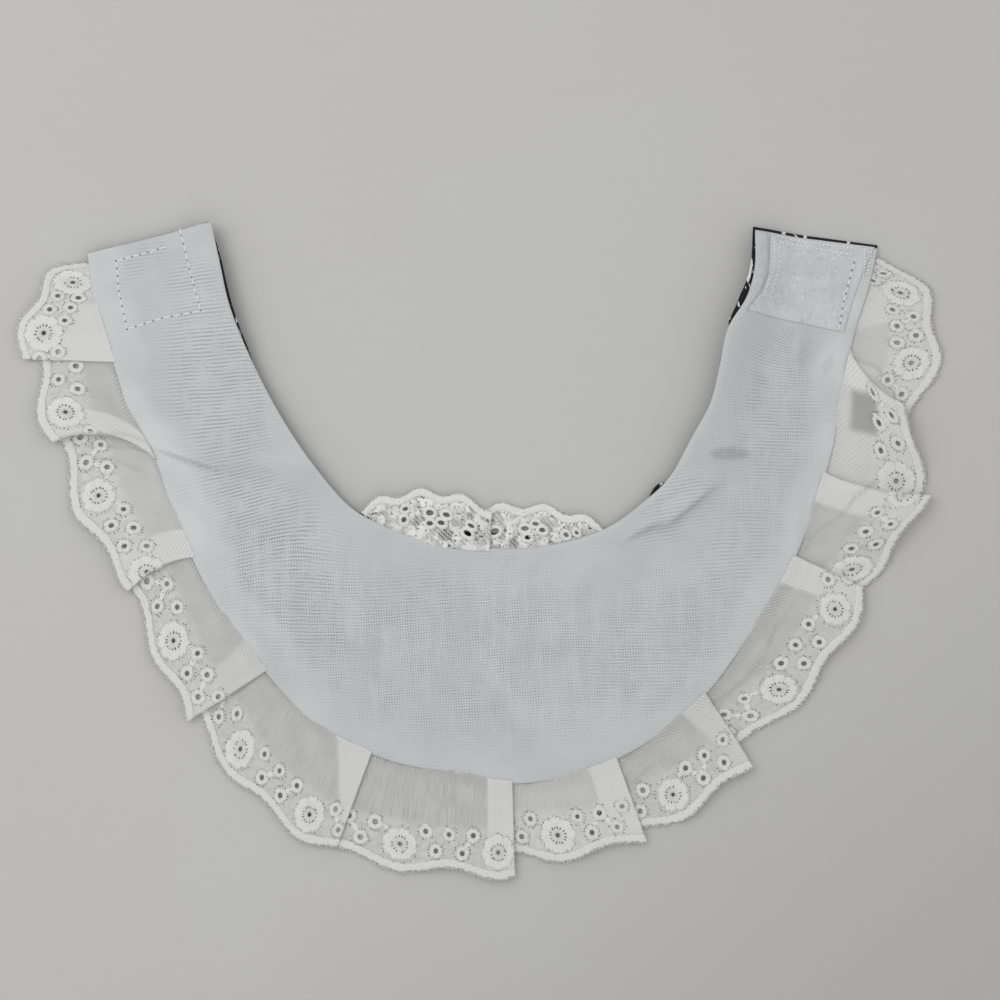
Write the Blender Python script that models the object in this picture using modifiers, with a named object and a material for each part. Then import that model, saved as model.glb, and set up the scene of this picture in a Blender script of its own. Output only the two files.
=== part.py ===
"""A pet scarf collar laid face down, lining side up.

The bib is a U of printed cotton with a voile lining on it. A pleated eyelet ruffle runs round its
outer edge, a scalloped lace frill stands out at the middle of the neck edge, and the horns carry a
hook patch and a loop patch. Lengths in this file are millimetres, and to_metres() turns a finished
point into metres. X runs from the left horn to the right one, Y up towards the neck opening.
"""

import math
from collections import namedtuple

import bmesh
import bpy
from mathutils import Vector

MM = 0.001

WALL = 1.0  # thickness of every cloth wall
GAP = 0.3  # clearance between one layer and the next
LAYER = WALL + GAP
SEAM_GAP = 0.5  # clearance between a panel's edge and what is sewn along it
CENTRE_X = 0.0  # middle of the laid-out collar, which becomes the origin
CENTRE_Y = -0.15
TABLE_CLEARANCE = 0.12  # keeps a strip's under side out of the table where the strip bends

# The bib's band, section by section from the left horn to the right one: where the section meets
# the neck edge and the outer seam, how high the neck edge curls off the table, and how far the
# printed face reaches past the lining there.
Section = namedtuple("Section", "neck_x neck_y seam_x seam_y neck_lift reach")
SECTIONS = [
    Section(-75.9, 93.1, -111.2, 84.4, 2.6, 0.3),
    Section(-73.4, 81.6, -109.9, 74.1, 2.8, 0.6),
    Section(-70.8, 70.0, -106.8, 62.5, 2.8, 0.8),
    Section(-66.8, 59.2, -103.5, 51.8, 2.6, 0.9),
    Section(-61.0, 46.6, -99.7, 39.6, 2.4, 0.5),
    Section(-53.2, 33.0, -92.6, 26.9, 2.0, 0.3),
    Section(-44.9, 21.4, -85.9, 7.8, 1.6, 0.3),
    Section(-36.4, 12.0, -76.9, -11.6, 1.0, 0.3),
    Section(-26.2, 6.3, -63.6, -31.2, 0.4, 3.4),
    Section(-15.0, 2.4, -46.6, -49.6, 0.0, 4.2),
    Section(-4.5, 0.9, -27.6, -59.2, 0.0, 4.4),
    Section(5.0, 0.4, -8.4, -63.4, 0.0, 4.4),
    Section(14.4, 0.5, 11.0, -66.4, 0.0, 4.4),
    Section(25.2, 2.4, 30.4, -63.0, 0.0, 3.6),
    Section(36.4, 6.3, 47.4, -54.9, 0.4, 0.8),
    Section(46.4, 13.4, 63.3, -42.2, 1.0, 0.3),
    Section(54.2, 21.0, 75.6, -26.0, 1.6, 0.3),
    Section(60.2, 32.0, 86.4, -9.2, 2.2, 0.3),
    Section(65.3, 41.6, 94.4, 9.2, 2.8, 0.3),
    Section(67.9, 52.0, 100.2, 28.0, 3.2, 0.3),
    Section(70.1, 62.5, 103.1, 44.8, 3.6, 0.3),
    Section(75.4, 71.4, 106.6, 61.6, 3.8, 2.0),
    Section(77.8, 80.0, 110.6, 74.4, 3.6, 1.3),
    Section(78.0, 90.7, 113.2, 85.9, 3.2, 0.6),
]
STEPS_A_SECTION = 2  # columns of the panels' mesh between two sections
ROWS_ACROSS = 8
LIFT_REACH = 0.42  # share of the band over which a curled neck edge comes back to the table
LINING_INSET = 0.02  # sections by which the lining stops short of the horns' ends
FACE_END_REACH = 0.07  # sections by which the face shows past the right horn's end

# A crease raises both panels in a soft ridge along a line.
Crease = namedtuple("Crease", "from_x from_y to_x to_y height width")
CREASES = [
    Crease(-90.2, 28.2, -75.6, 23.9, 0.9, 2.6),
    Crease(40.4, 2.5, 68.6, 19.9, 1.4, 3.0),
]

# A fastening patch lies between four corners, given as sections along the band and shares across it.
Corner = namedtuple("Corner", "along across")
LOOP_PATCH = [Corner(22.94, 0.17), Corner(22.94, 0.985), Corner(20.95, 0.985), Corner(20.75, 0.1)]
HOOK_PATCH = [Corner(0.45, 0.26), Corner(0.45, 0.8), Corner(2.18, 0.84), Corner(2.18, 0.22)]
PATCH_STEPS = 6
HOOK_MARGIN = 5.0  # the face stays at its full height this far past the hook patch
HOOK_EASE = 11.0  # and comes down to the table over this much more

# The ruffle, stretch by stretch from the left horn. A stretch starts under the one before, and ends
# in a fold over the next: the fold runs from the seam, at this distance along it, to its tip at the
# hem. The hem runs from start through middle to tip. Bow bends the fold sideways, under is the
# width folded back at the seam, and puff is how far the fold stands up. Flower is the distance
# along the hem to the first flower of the lace, and repeat the distance from it to the next one.
Stretch = namedtuple(
    "Stretch", "seam start_x start_y middle_x middle_y tip_x tip_y bow under puff flower repeat"
)
RUFFLE_FIRST_SEAM = 3.0
RUFFLE = [
    Stretch(31.7, -114.0, 84.0, -127.2, 73.9, -132.2, 54.6, 0.0, 8.5, 0.0, 10.4, 19.8),
    Stretch(61.1, -126.9, 60.4, -126.8, 45.0, -122.9, 30.4, 5.0, 8.5, 2.2, 23.8, 28.0),
    Stretch(91.8, -122.4, 36.6, -115.0, 9.9, -100.1, -11.5, 2.0, 8.5, 1.0, 25.9, 28.0),
    Stretch(130.7, -104.7, -3.5, -94.4, -27.3, -84.2, -49.1, 0.0, 8.5, 0.8, 28.5, 28.0),
    Stretch(169.8, -85.3, -40.5, -66.5, -70.0, -41.6, -86.8, 0.0, 7.5, 0.0, 23.2, 30.3),
    Stretch(211.1, -46.9, -85.6, -16.9, -92.3, 9.9, -93.3, 0.0, 7.0, 0.4, 22.3, 30.4),
    Stretch(242.1, 2.5, -87.8, 25.3, -88.5, 47.5, -83.6, 0.0, 8.5, 0.4, 21.1, 29.0),
    Stretch(273.8, 38.6, -84.4, 60.0, -75.6, 78.0, -62.2, 0.0, 8.5, 0.8, 21.1, 29.0),
    Stretch(321.0, 72.8, -58.5, 97.1, -37.7, 110.7, -12.0, 0.0, 8.5, 0.8, 22.7, 29.5),
    Stretch(346.1, 105.0, -15.4, 118.7, -0.8, 127.9, 15.0, 2.0, 8.5, 2.4, 11.1, 28.0),
    Stretch(381.2, 124.1, 9.4, 126.7, 25.6, 121.3, 40.4, 2.5, 8.5, 2.8, 9.7, 28.0),
    Stretch(409.0, 123.3, 34.4, 131.9, 64.2, 116.0, 84.4, 0.0, 0.0, 0.0, 17.0, 25.1),
]
RUFFLE_ROWS = 5
RUFFLE_COLUMN = 3.6  # widest column of the ruffle's mesh, along the hem
SCALLOP_DEPTH = 3.0
MOST_SCALLOP = 0.35  # share of a strip's width that a scallop may take where it tapers away

# The neck lace in the same terms, along the lining's neck edge.
NECK_LACE_FIRST_SEAM = 94.4
NECK_LACE = [
    Stretch(132.6, -35.4, 11.9, -16.0, 17.6, 3.3, 12.3, 0.0, 4.5, 0.0, 7.0, 12.6),
    Stretch(166.0, -0.7, 12.2, 18.0, 13.2, 35.4, 7.6, 0.0, 0.0, 0.0, 6.6, 12.6),
]
NECK_LACE_ROWS = 5
NECK_LACE_COLUMN = 2.4
NECK_SCALLOP_DEPTH = 1.3
NECK_LACE_ON_FACE = 6.0  # the frill lies on the printed face this far out, then drops to the table
NECK_LACE_DROP = 3.5

FOLD_ARC = (45.0, 0.0, -45.0)  # angles of the columns that turn a fold round, in degrees
FOLDED_BACK = (0.0, 0.5, 1.0)  # shares of the folded-back layer at which it has a column
PUFF_TURN = 0.75  # a fold's puff follows this much of half a wave from the seam to the hem
HEM_CHORDS = 24  # chords that a hem's length is measured along
RISE_MARGIN = 3.0  # a stretch lies level this far past the folds above and below it
UNDER_SCALLOP = 1.5  # the hem of a folded-back layer, in from the line between its ends


def to_metres(point):
    """This point in metres from the middle of the collar."""
    return Vector((point.x - CENTRE_X, point.y - CENTRE_Y, point.z)) * MM


def ease(share):
    """A smooth step from 0 to 1."""
    share = min(max(share, 0.0), 1.0)
    return share * share * (3.0 - 2.0 * share)


def along_sections(column, place):
    """One column of the sections, followed smoothly to this place between them."""
    last = len(SECTIONS) - 1
    index = min(max(math.floor(place), 0), last - 1)
    share = place - index
    rows = [SECTIONS[min(max(index + step, 0), last)] for step in (-1, 0, 1, 2)]
    before, here, there, after = (getattr(row, column) for row in rows)
    if index == 0:
        before = 2.0 * here - there
    if index == last - 1:
        after = 2.0 * there - here
    return 0.5 * (
        2.0 * here
        + (there - before) * share
        + (2.0 * before - 5.0 * here + 4.0 * there - after) * share**2
        + (3.0 * here - before - 3.0 * there + after) * share**3
    )


def between_sections(column, place):
    """One column of the sections, in straight lines from row to row."""
    index = min(max(math.floor(place), 0), len(SECTIONS) - 2)
    here = getattr(SECTIONS[index], column)
    there = getattr(SECTIONS[index + 1], column)
    return here + (there - here) * (place - index)


def band_spot(place, across):
    """The spot on the table at this place along the band and share across it."""
    neck = Vector((along_sections("neck_x", place), along_sections("neck_y", place)))
    seam = Vector((along_sections("seam_x", place), along_sections("seam_y", place)))
    return neck.lerp(seam, across)


def crease_height(crease, spot):
    start = Vector((crease.from_x, crease.from_y))
    run = Vector((crease.to_x, crease.to_y)) - start
    share = (spot - start).dot(run) / run.length_squared
    if not 0.0 < share < 1.0:
        return 0.0
    away = (spot - start - run * share).length
    return crease.height * math.sin(math.pi * share) * math.exp(-((away / crease.width) ** 2))


def hook_rise(spot):
    """How high the cloth stands on the hook patch at this spot."""
    corners = [band_spot(corner.along, corner.across) for corner in HOOK_PATCH]
    outside = -math.inf
    for corner, following in zip(corners, corners[1:] + corners[:1]):
        edge = (following - corner).normalized()
        outside = max(outside, (spot - corner).dot(Vector((edge.y, -edge.x))))
    return LAYER * (1.0 - ease((outside - HOOK_MARGIN) / HOOK_EASE))


def cloth_height(place, across):
    """Height of the face's under side above the table."""
    spot = band_spot(place, across)
    curl = 1.0 - ease(max(across, 0.0) / LIFT_REACH)
    lift = between_sections("neck_lift", place) * curl
    return lift + hook_rise(spot) + sum(crease_height(crease, spot) for crease in CREASES)


def band_point(place, across, above):
    """The middle of a wall that lies this far above the face's under side."""
    spot = band_spot(place, across)
    return Vector((spot.x, spot.y, cloth_height(place, across) + above + WALL / 2.0))


def face_edge(place):
    """The share across the band at which the face ends, past the neck edge."""
    width = (band_spot(place, 1.0) - band_spot(place, 0.0)).length
    return -between_sections("reach", place) / width


class SewnEdge:
    """A line a little outside a panel's edge, with each of its points found by its distance along it."""

    FINENESS = 12  # points between two sections

    def __init__(self, across, outward):
        count = (len(SECTIONS) - 1) * self.FINENESS
        self.places = [step / self.FINENESS for step in range(count + 1)]
        line = [band_spot(place, across) for place in self.places]
        self.spots = []
        for index, spot in enumerate(line):
            run = line[min(index + 1, count)] - line[max(index - 1, 0)]
            side = Vector((run.y, -run.x)).normalized()
            self.spots.append(spot + side * SEAM_GAP * outward)
        self.lengths = [0.0]
        for before, after in zip(self.spots, self.spots[1:]):
            self.lengths.append(self.lengths[-1] + (after - before).length)

    def spot(self, distance):
        for index in range(len(self.lengths) - 2):
            if distance < self.lengths[index + 1]:
                break
        run = self.lengths[index + 1] - self.lengths[index]
        share = (distance - self.lengths[index]) / run
        return self.spots[index].lerp(self.spots[index + 1], share)


def hem_spot(stretch, share):
    """The hem's outermost line: a curve through the stretch's start, middle and tip."""
    start = Vector((stretch.start_x, stretch.start_y))
    middle = Vector((stretch.middle_x, stretch.middle_y))
    tip = Vector((stretch.tip_x, stretch.tip_y))
    return (
        start * 2.0 * (share - 0.5) * (share - 1.0)
        + middle * 4.0 * share * (1.0 - share)
        + tip * 2.0 * share * (share - 0.5)
    )


def hem_length(stretch):
    spots = [hem_spot(stretch, step / HEM_CHORDS) for step in range(HEM_CHORDS + 1)]
    return sum((after - before).length for before, after in zip(spots, spots[1:]))


def bowed(root, tip, bow, down):
    """A spot on the line from root to tip, bent sideways by bow at its middle."""
    run = tip - root
    side = Vector((run.y, -run.x)).normalized()
    return root.lerp(tip, down) + side * bow * 4.0 * down * (1.0 - down)


class PleatedStrip:
    """A strip of cloth sewn along an edge and folded over itself between its stretches."""

    def __init__(self, stretches, edge, first_seam, scallop_depth, table_height):
        self.stretches = stretches
        self.edge = edge
        self.first_seam = first_seam
        self.scallop_depth = scallop_depth
        self.table_height = table_height

    def seam_start(self, index):
        """Where a stretch starts at the seam: folded back under the one before it."""
        if index == 0:
            return self.first_seam
        before = self.stretches[index - 1]
        return before.seam - before.under

    def fold_spot(self, index, down):
        """On the fold that ends this stretch."""
        stretch = self.stretches[index]
        tip = Vector((stretch.tip_x, stretch.tip_y))
        return bowed(self.edge.spot(stretch.seam), tip, stretch.bow, down)

    def back_spot(self, index, down):
        """On the line where this stretch starts: the hidden fold under the one before it."""
        stretch = self.stretches[index]
        bow = self.stretches[index - 1].bow if index else 0.0
        start = Vector((stretch.start_x, stretch.start_y))
        return bowed(self.edge.spot(self.seam_start(index)), start, bow, down)

    def sheet_spot(self, index, share, down):
        """On a stretch, blended from the four lines round it."""
        stretch = self.stretches[index]
        first = self.seam_start(index)
        root = self.edge.spot(first + (stretch.seam - first) * share)
        back, fold = self.back_spot(index, down), self.fold_spot(index, down)
        hem = hem_spot(stretch, share)
        sides = self.back_spot(index, 0.0).lerp(self.fold_spot(index, 0.0), share)
        tips = self.back_spot(index, 1.0).lerp(self.fold_spot(index, 1.0), share)
        return root.lerp(hem, down) + back.lerp(fold, share) - sides.lerp(tips, down)

    def fold_height(self, index, down):
        """How high the top layer of this stretch's closing fold stands over its bottom layer."""
        stretch = self.stretches[index]
        if not stretch.under:
            return 0.0
        return 2.0 * LAYER + stretch.puff * math.sin(PUFF_TURN * math.pi * down)

    def rise(self, index, share, down):
        """0 where a stretch lies on the table under the fold before it, 1 where it tops its own fold."""
        stretch = self.stretches[index]
        first = self.seam_start(index)
        seam, hem = stretch.seam - first, hem_length(stretch)
        starts, ends = 0.0, 1.0
        if index:
            fold, back = self.fold_spot(index - 1, 1.0), self.back_spot(index, 1.0)
            at_seam = (self.stretches[index - 1].under + RISE_MARGIN) / seam
            at_hem = ((fold - back).length + RISE_MARGIN) / hem
            starts = at_seam + (at_hem - at_seam) * down
        if index < len(self.stretches) - 1:
            fold, back = self.fold_spot(index, 1.0), self.back_spot(index + 1, 1.0)
            at_seam = (stretch.under + RISE_MARGIN) / seam
            at_hem = ((fold - back).length + RISE_MARGIN) / hem
            ends = 1.0 - at_seam - (at_hem - at_seam) * down
        return ease((share - starts) / (ends - starts))

    def scallop(self, index, share):
        """How far the hem lies in from its outermost line: nothing at a flower, most between two."""
        stretch = self.stretches[index]
        turn = (share * hem_length(stretch) - stretch.flower) / stretch.repeat
        return self.scallop_depth * 0.5 * (1.0 - math.cos(2.0 * math.pi * turn))

    def columns(self, widest):
        """Each column of the strip as a function that gives its point at a share of the way down."""
        last = len(self.stretches) - 1
        for index, stretch in enumerate(self.stretches):
            steps = math.ceil(hem_length(stretch) / widest)
            for step in range(steps + 1):
                yield self.sheet_column(index, step / steps)
            if index < last:
                yield from self.fold_columns(index)

    def sheet_column(self, index, share):
        width = (hem_spot(self.stretches[index], share) - self.sheet_spot(index, share, 0.0)).length
        hem = 1.0 - min(self.scallop(index, share) / width, MOST_SCALLOP)

        def point(down):
            spot = self.sheet_spot(index, share, down * hem)
            height = self.fold_height(index, down) * self.rise(index, share, down)
            return spot, height

        return point

    def fold_columns(self, index):
        """The columns that turn under at the fold, run back below it and turn under again."""
        for degrees in FOLD_ARC:
            yield self.arc_column(index, degrees, self.fold_spot, index, 1.0)
        for share in FOLDED_BACK:
            yield self.flap_column(index, share)
        for degrees in FOLD_ARC:
            yield self.arc_column(index, degrees, self.back_spot, index + 1, -1.0)

    def arc_column(self, index, degrees, line, line_index, forward):
        """A column on the half circle from one layer down to the next, round this line."""
        angle = math.radians(degrees)
        middle = (2.0 + forward) / 4.0

        def point(down):
            spot = line(line_index, down * self.fold_hem(index))
            gap = self.fold_spot(index, down) - self.back_spot(index + 1, down)
            outward = gap.normalized() * forward
            height = self.fold_height(index, down)
            radius = height / 4.0
            spot = spot + outward * radius * math.cos(angle)
            return spot, height * middle + radius * math.sin(angle)

        return point

    def flap_column(self, index, share):
        def point(down):
            at = down * self.fold_hem(index)
            spot = self.fold_spot(index, at).lerp(self.back_spot(index + 1, at), share)
            return spot, self.fold_height(index, down) / 2.0

        return point

    def fold_hem(self, index):
        width = (self.fold_spot(index, 1.0) - self.fold_spot(index, 0.0)).length
        return 1.0 - UNDER_SCALLOP / width

    def build(self, name, rows, widest, material):
        columns = list(self.columns(widest))

        def place(column, row):
            down = row / (rows - 1)
            spot, height = columns[column](down)
            height += self.table_height(spot, down)
            return Vector((spot.x, spot.y, height + WALL / 2.0 + TABLE_CLEARANCE))

        return cloth(name, len(columns), rows, place, material)


def cloth(name, columns, rows, place, material):
    """A wall of cloth on a grid of points, each given by place(column, row)."""
    build = bmesh.new()
    bmesh.ops.create_grid(build, x_segments=columns - 1, y_segments=rows - 1, size=1.0)
    for vertex in build.verts:
        column = round((vertex.co.x + 1.0) / 2.0 * (columns - 1))
        row = round((vertex.co.y + 1.0) / 2.0 * (rows - 1))
        vertex.co = to_metres(place(column, row))
    mesh = bpy.data.meshes.new(name)
    build.to_mesh(mesh)
    build.free()
    piece = bpy.data.objects.new(name, mesh)
    COLLECTION.objects.link(piece)
    mesh.materials.append(material)
    mesh.shade_smooth()
    wall = piece.modifiers.new("wall", "SOLIDIFY")
    wall.thickness = WALL * MM
    wall.offset = 0.0
    wall.use_even_offset = True
    return piece


def cloth_material(name, colour, roughness):
    material = bpy.data.materials.new(name)
    material.use_nodes = True
    shader = material.node_tree.nodes["Principled BSDF"]
    shader.inputs["Base Color"].default_value = (*colour, 1.0)
    shader.inputs["Roughness"].default_value = roughness
    shader.inputs["Metallic"].default_value = 0.0
    return material


def build_panel(name, from_place, to_place, first_across, above, material):
    columns = (len(SECTIONS) - 1) * STEPS_A_SECTION + 1
    rows = ROWS_ACROSS + 1

    def place(column, row):
        along = from_place + (to_place - from_place) * column / (columns - 1)
        first = first_across(along)
        across = first + (1.0 - first) * row / (rows - 1)
        return band_point(along, across, above)

    return cloth(name, columns, rows, place, material)


def build_patch(name, corners, above, material):
    def place(column, row):
        top, side = column / PATCH_STEPS, row / PATCH_STEPS
        first, second, third, fourth = corners
        near = [a + (b - a) * top for a, b in zip(first, second)]
        far = [a + (b - a) * top for a, b in zip(fourth, third)]
        along, across = (a + (b - a) * side for a, b in zip(near, far))
        return band_point(along, across, above)

    return cloth(name, PATCH_STEPS + 1, PATCH_STEPS + 1, place, material)


def build_ruffle():
    edge = SewnEdge(1.0, 1.0)

    def table_height(spot, down):
        """The ruffle's root stays level with the panels where they stand on the hook patch."""
        return hook_rise(spot) * (1.0 - down)

    strip = PleatedStrip(RUFFLE, edge, RUFFLE_FIRST_SEAM, SCALLOP_DEPTH, table_height)
    material = cloth_material("eyelet_voile", (0.78, 0.79, 0.76), 0.9)
    return strip.build("ruffle", RUFFLE_ROWS, RUFFLE_COLUMN, material)


def build_neck_lace():
    edge = SewnEdge(0.0, -1.0)

    def table_height(spot, down):
        """The frill lies on the face's edge, and comes down to the table past it."""
        out, place = min(((spot - root).length, place) for root, place in zip(edge.spots, edge.places))
        drop = ease((out - NECK_LACE_ON_FACE) / NECK_LACE_DROP)
        return LAYER * (1.0 - drop) + cloth_height(place, 0.0)

    strip = PleatedStrip(
        NECK_LACE, edge, NECK_LACE_FIRST_SEAM, NECK_SCALLOP_DEPTH, table_height
    )
    material = cloth_material("frill_lace", (0.80, 0.80, 0.76), 0.9)
    return strip.build("neck_lace", NECK_LACE_ROWS, NECK_LACE_COLUMN, material)


for leftover in list(bpy.data.objects):
    bpy.data.objects.remove(leftover)
COLLECTION = bpy.data.collections.new("pet_scarf_collar")
bpy.context.scene.collection.children.link(COLLECTION)

last_section = len(SECTIONS) - 1
build_panel(
    "face_panel", 0.0, last_section + FACE_END_REACH, face_edge, 0.0,
    cloth_material("printed_cotton", (0.72, 0.72, 0.70), 0.85),
)
build_panel(
    "lining", LINING_INSET, last_section - LINING_INSET, lambda place: 0.0, LAYER,
    cloth_material("lining_voile", (0.70, 0.72, 0.74), 0.9),
)
build_patch(
    "loop_patch", LOOP_PATCH, 2.0 * LAYER, cloth_material("loop_tape", (0.68, 0.70, 0.74), 0.95)
)
build_patch(
    "hook_patch", HOOK_PATCH, -LAYER, cloth_material("hook_tape", (0.72, 0.73, 0.75), 0.7)
)
build_ruffle()
build_neck_lace()
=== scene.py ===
# Looks for the pet scarf collar, laid face down with its lining up. Lengths here are millimetres,
# with x from the left horn to the right one and y up towards the neck opening. on_table() turns a
# point into metres from the middle of the collar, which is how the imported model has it.

import math
import random
from bisect import bisect_right
from collections import namedtuple
from contextlib import contextmanager

import bpy
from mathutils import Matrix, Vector, noise


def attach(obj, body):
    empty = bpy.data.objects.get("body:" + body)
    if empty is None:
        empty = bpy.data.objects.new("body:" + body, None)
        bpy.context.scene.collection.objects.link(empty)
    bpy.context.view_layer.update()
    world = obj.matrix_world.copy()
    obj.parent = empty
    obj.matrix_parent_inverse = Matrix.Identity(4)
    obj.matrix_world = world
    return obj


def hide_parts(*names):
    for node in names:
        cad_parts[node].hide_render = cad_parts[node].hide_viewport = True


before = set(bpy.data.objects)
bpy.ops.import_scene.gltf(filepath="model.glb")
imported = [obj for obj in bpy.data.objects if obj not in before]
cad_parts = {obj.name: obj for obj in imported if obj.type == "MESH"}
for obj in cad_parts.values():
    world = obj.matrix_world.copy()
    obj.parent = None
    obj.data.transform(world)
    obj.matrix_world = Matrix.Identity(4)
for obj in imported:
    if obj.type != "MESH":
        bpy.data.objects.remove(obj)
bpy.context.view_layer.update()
bpy.ops.object.select_all(action="DESELECT")

MM = 0.001
CENTRE_X = 0.0
CENTRE_Y = -0.15
TURN = 2.0 * math.pi

def rows_of(kind, rows):
    return [kind(*row) for row in rows]


# The bib's band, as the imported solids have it: where each section meets the neck edge and the outer
# seam, how high the neck edge curls up, and how far the printed face reaches past the lining there.
# Where the photograph shows it, the curl is a little higher and the reach less than the solids'.
Section = namedtuple("Section", "neck_x neck_y seam_x seam_y neck_lift reach")
SECTIONS = rows_of(Section, [
    (-75.9, 93.1, -111.2, 84.4, 2.6, 0.3),
    (-73.4, 81.6, -109.9, 74.1, 2.8, 0.6),
    (-70.8, 70.0, -106.8, 62.5, 2.8, 0.8),
    (-66.8, 59.2, -103.5, 51.8, 2.6, 0.55),
    (-61.0, 46.6, -99.7, 39.6, 2.4, 0.3),
    (-53.2, 33.0, -92.6, 26.9, 2.5, 0.3),
    (-44.9, 21.4, -85.9, 7.8, 2.1, 0.3),
    (-36.4, 12.0, -76.9, -11.6, 1.3, 0.3),
    (-26.2, 6.3, -63.6, -31.2, 0.4, 0.9),
    (-15.0, 2.4, -46.6, -49.6, 0.0, 4.2),
    (-4.5, 0.9, -27.6, -59.2, 0.0, 4.4),
    (5.0, 0.4, -8.4, -63.4, 0.0, 4.4),
    (14.4, 0.5, 11.0, -66.4, 0.0, 4.4),
    (25.2, 2.4, 30.4, -63.0, 0.0, 0.6),
    (36.4, 6.3, 47.4, -54.9, 0.4, 0.3),
    (46.4, 13.4, 63.3, -42.2, 1.0, 0.3),
    (54.2, 21.0, 75.6, -26.0, 2.1, 0.3),
    (60.2, 32.0, 86.4, -9.2, 3.0, 0.3),
    (65.3, 41.6, 94.4, 9.2, 3.6, 0.3),
    (67.9, 52.0, 100.2, 28.0, 4.1, 0.3),
    (70.1, 62.5, 103.1, 44.8, 4.5, 0.3),
    (75.4, 71.4, 106.6, 61.6, 4.6, 2.0),
    (77.8, 80.0, 110.6, 74.4, 4.1, 1.3),
    (78.0, 90.7, 113.2, 85.9, 3.2, 0.6),
])
LAST_SECTION = len(SECTIONS) - 1
LIFT_REACH = 0.42
THIN_CURL = 1.25  # thin cloth curls up a little further than the solids
LINING_INSET = 0.02
FACE_END_REACH = 0.07
GLIMPSE_PLACE = 15.5  # where the print shows for a moment right of the neck lace
GLIMPSE_REACH = 1.1
SEAM_GAP = 0.5

Corner = namedtuple("Corner", "along across")
HOOK_PATCH = [Corner(0.45, 0.26), Corner(0.45, 0.8), Corner(2.18, 0.84), Corner(2.18, 0.22)]
HOOK_MARGIN = 5.0
HOOK_EASE = 11.0
HOOK_HEIGHT = 1.3  # how far the hook patch lifts the cloth over it

# The pleated strips, stretch by stretch: see the solids' source. Flower is the distance along the
# hem to the first motif of the lace, and repeat the distance from it to the next one.
Stretch = namedtuple(
    "Stretch", "seam start_x start_y middle_x middle_y tip_x tip_y bow under puff flower repeat"
)
RUFFLE_FIRST_SEAM = 3.0
RUFFLE = rows_of(Stretch, [
    (31.7, -114.0, 84.0, -127.2, 73.9, -132.2, 54.6, 0.0, 8.5, 0.0, 10.4, 19.8),
    (61.1, -126.9, 60.4, -126.8, 45.0, -122.9, 30.4, 5.0, 8.5, 2.2, 23.8, 28.0),
    (91.8, -122.4, 36.6, -115.0, 9.9, -100.1, -11.5, 2.0, 8.5, 1.0, 25.9, 28.0),
    (130.7, -104.7, -3.5, -94.4, -27.3, -84.2, -49.1, 0.0, 8.5, 0.8, 28.5, 28.0),
    (169.8, -85.3, -40.5, -66.5, -70.0, -41.6, -86.8, 0.0, 7.5, 0.0, 23.2, 30.3),
    (211.1, -46.9, -85.6, -16.9, -92.3, 9.9, -93.3, 0.0, 7.0, 0.4, 22.3, 30.4),
    (242.1, 2.5, -87.8, 25.3, -88.5, 47.5, -83.6, 0.0, 8.5, 0.4, 21.1, 29.0),
    (273.8, 38.6, -84.4, 60.0, -75.6, 78.0, -62.2, 0.0, 8.5, 0.8, 21.1, 29.0),
    (321.0, 72.8, -58.5, 97.1, -37.7, 110.7, -12.0, 0.0, 8.5, 0.8, 22.7, 29.5),
    (346.1, 105.0, -15.4, 118.7, -0.8, 127.9, 15.0, 2.0, 8.5, 2.4, 11.1, 28.0),
    (381.2, 124.1, 9.4, 126.7, 25.6, 121.3, 40.4, 2.5, 8.5, 2.8, 9.7, 28.0),
    (409.0, 123.3, 34.4, 131.9, 64.2, 116.0, 84.4, 0.0, 0.0, 0.0, 17.0, 25.1),
])
SCALLOP_DEPTH = 3.0
NECK_LACE_FIRST_SEAM = 94.4
NECK_LACE = rows_of(Stretch, [
    (132.6, -35.4, 11.9, -16.0, 17.6, 3.3, 12.3, 0.0, 4.5, 0.0, 7.0, 12.6),
    (166.0, -0.7, 12.2, 18.0, 13.2, 35.4, 7.6, 0.0, 0.0, 0.0, 6.6, 12.6),
])
NECK_SCALLOP_DEPTH = 1.9
PUFF_TURN = 0.75
HEM_CHORDS = 24
RISE_MARGIN = 3.0
WAVE_HEIGHT = 0.9  # how high the waves of loose cloth stand
CLEAR_OF_TABLE = 0.2

# Real cloth is thinner than the solids' walls, so the layers lie closer here.
FOLD_LAYER = 0.5  # from one layer of a fold to the next
FACE_MIDDLE = 0.35
LINING_MIDDLE = 1.55
LINING_EDGE = 1.15  # the lining's height where it is turned in and sewn
SEAM_ROLL = 1.4  # how far in from a seam the lining rises
CLOTH = 0.3
ROOT_HEIGHT = 0.55  # the ruffle's root, between face and lining
ROOT_TUCK = 1.3  # how far the root runs in under the lining


def on_table(point):
    return Vector((point[0] - CENTRE_X, point[1] - CENTRE_Y, point[2])) * MM


def clamped(share):
    return min(max(share, 0.0), 1.0)


def ease(share):
    """A smooth step from 0 to 1."""
    share = clamped(share)
    return share * share * (3.0 - 2.0 * share)


def along_sections(column, place):
    """One column of the sections, followed smoothly to this place between them."""
    index = min(max(math.floor(place), 0), LAST_SECTION - 1)
    share = place - index
    rows = [SECTIONS[min(max(index + step, 0), LAST_SECTION)] for step in (-1, 0, 1, 2)]
    before, here, there, after = (getattr(row, column) for row in rows)
    if index == 0:
        before = 2.0 * here - there
    if index == LAST_SECTION - 1:
        after = 2.0 * there - here
    return 0.5 * (
        2.0 * here
        + (there - before) * share
        + (2.0 * before - 5.0 * here + 4.0 * there - after) * share**2
        + (3.0 * here - before - 3.0 * there + after) * share**3
    )


def between_sections(column, place):
    index = min(max(math.floor(place), 0), LAST_SECTION - 1)
    here = getattr(SECTIONS[index], column)
    there = getattr(SECTIONS[index + 1], column)
    return here + (there - here) * (place - index)


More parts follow.
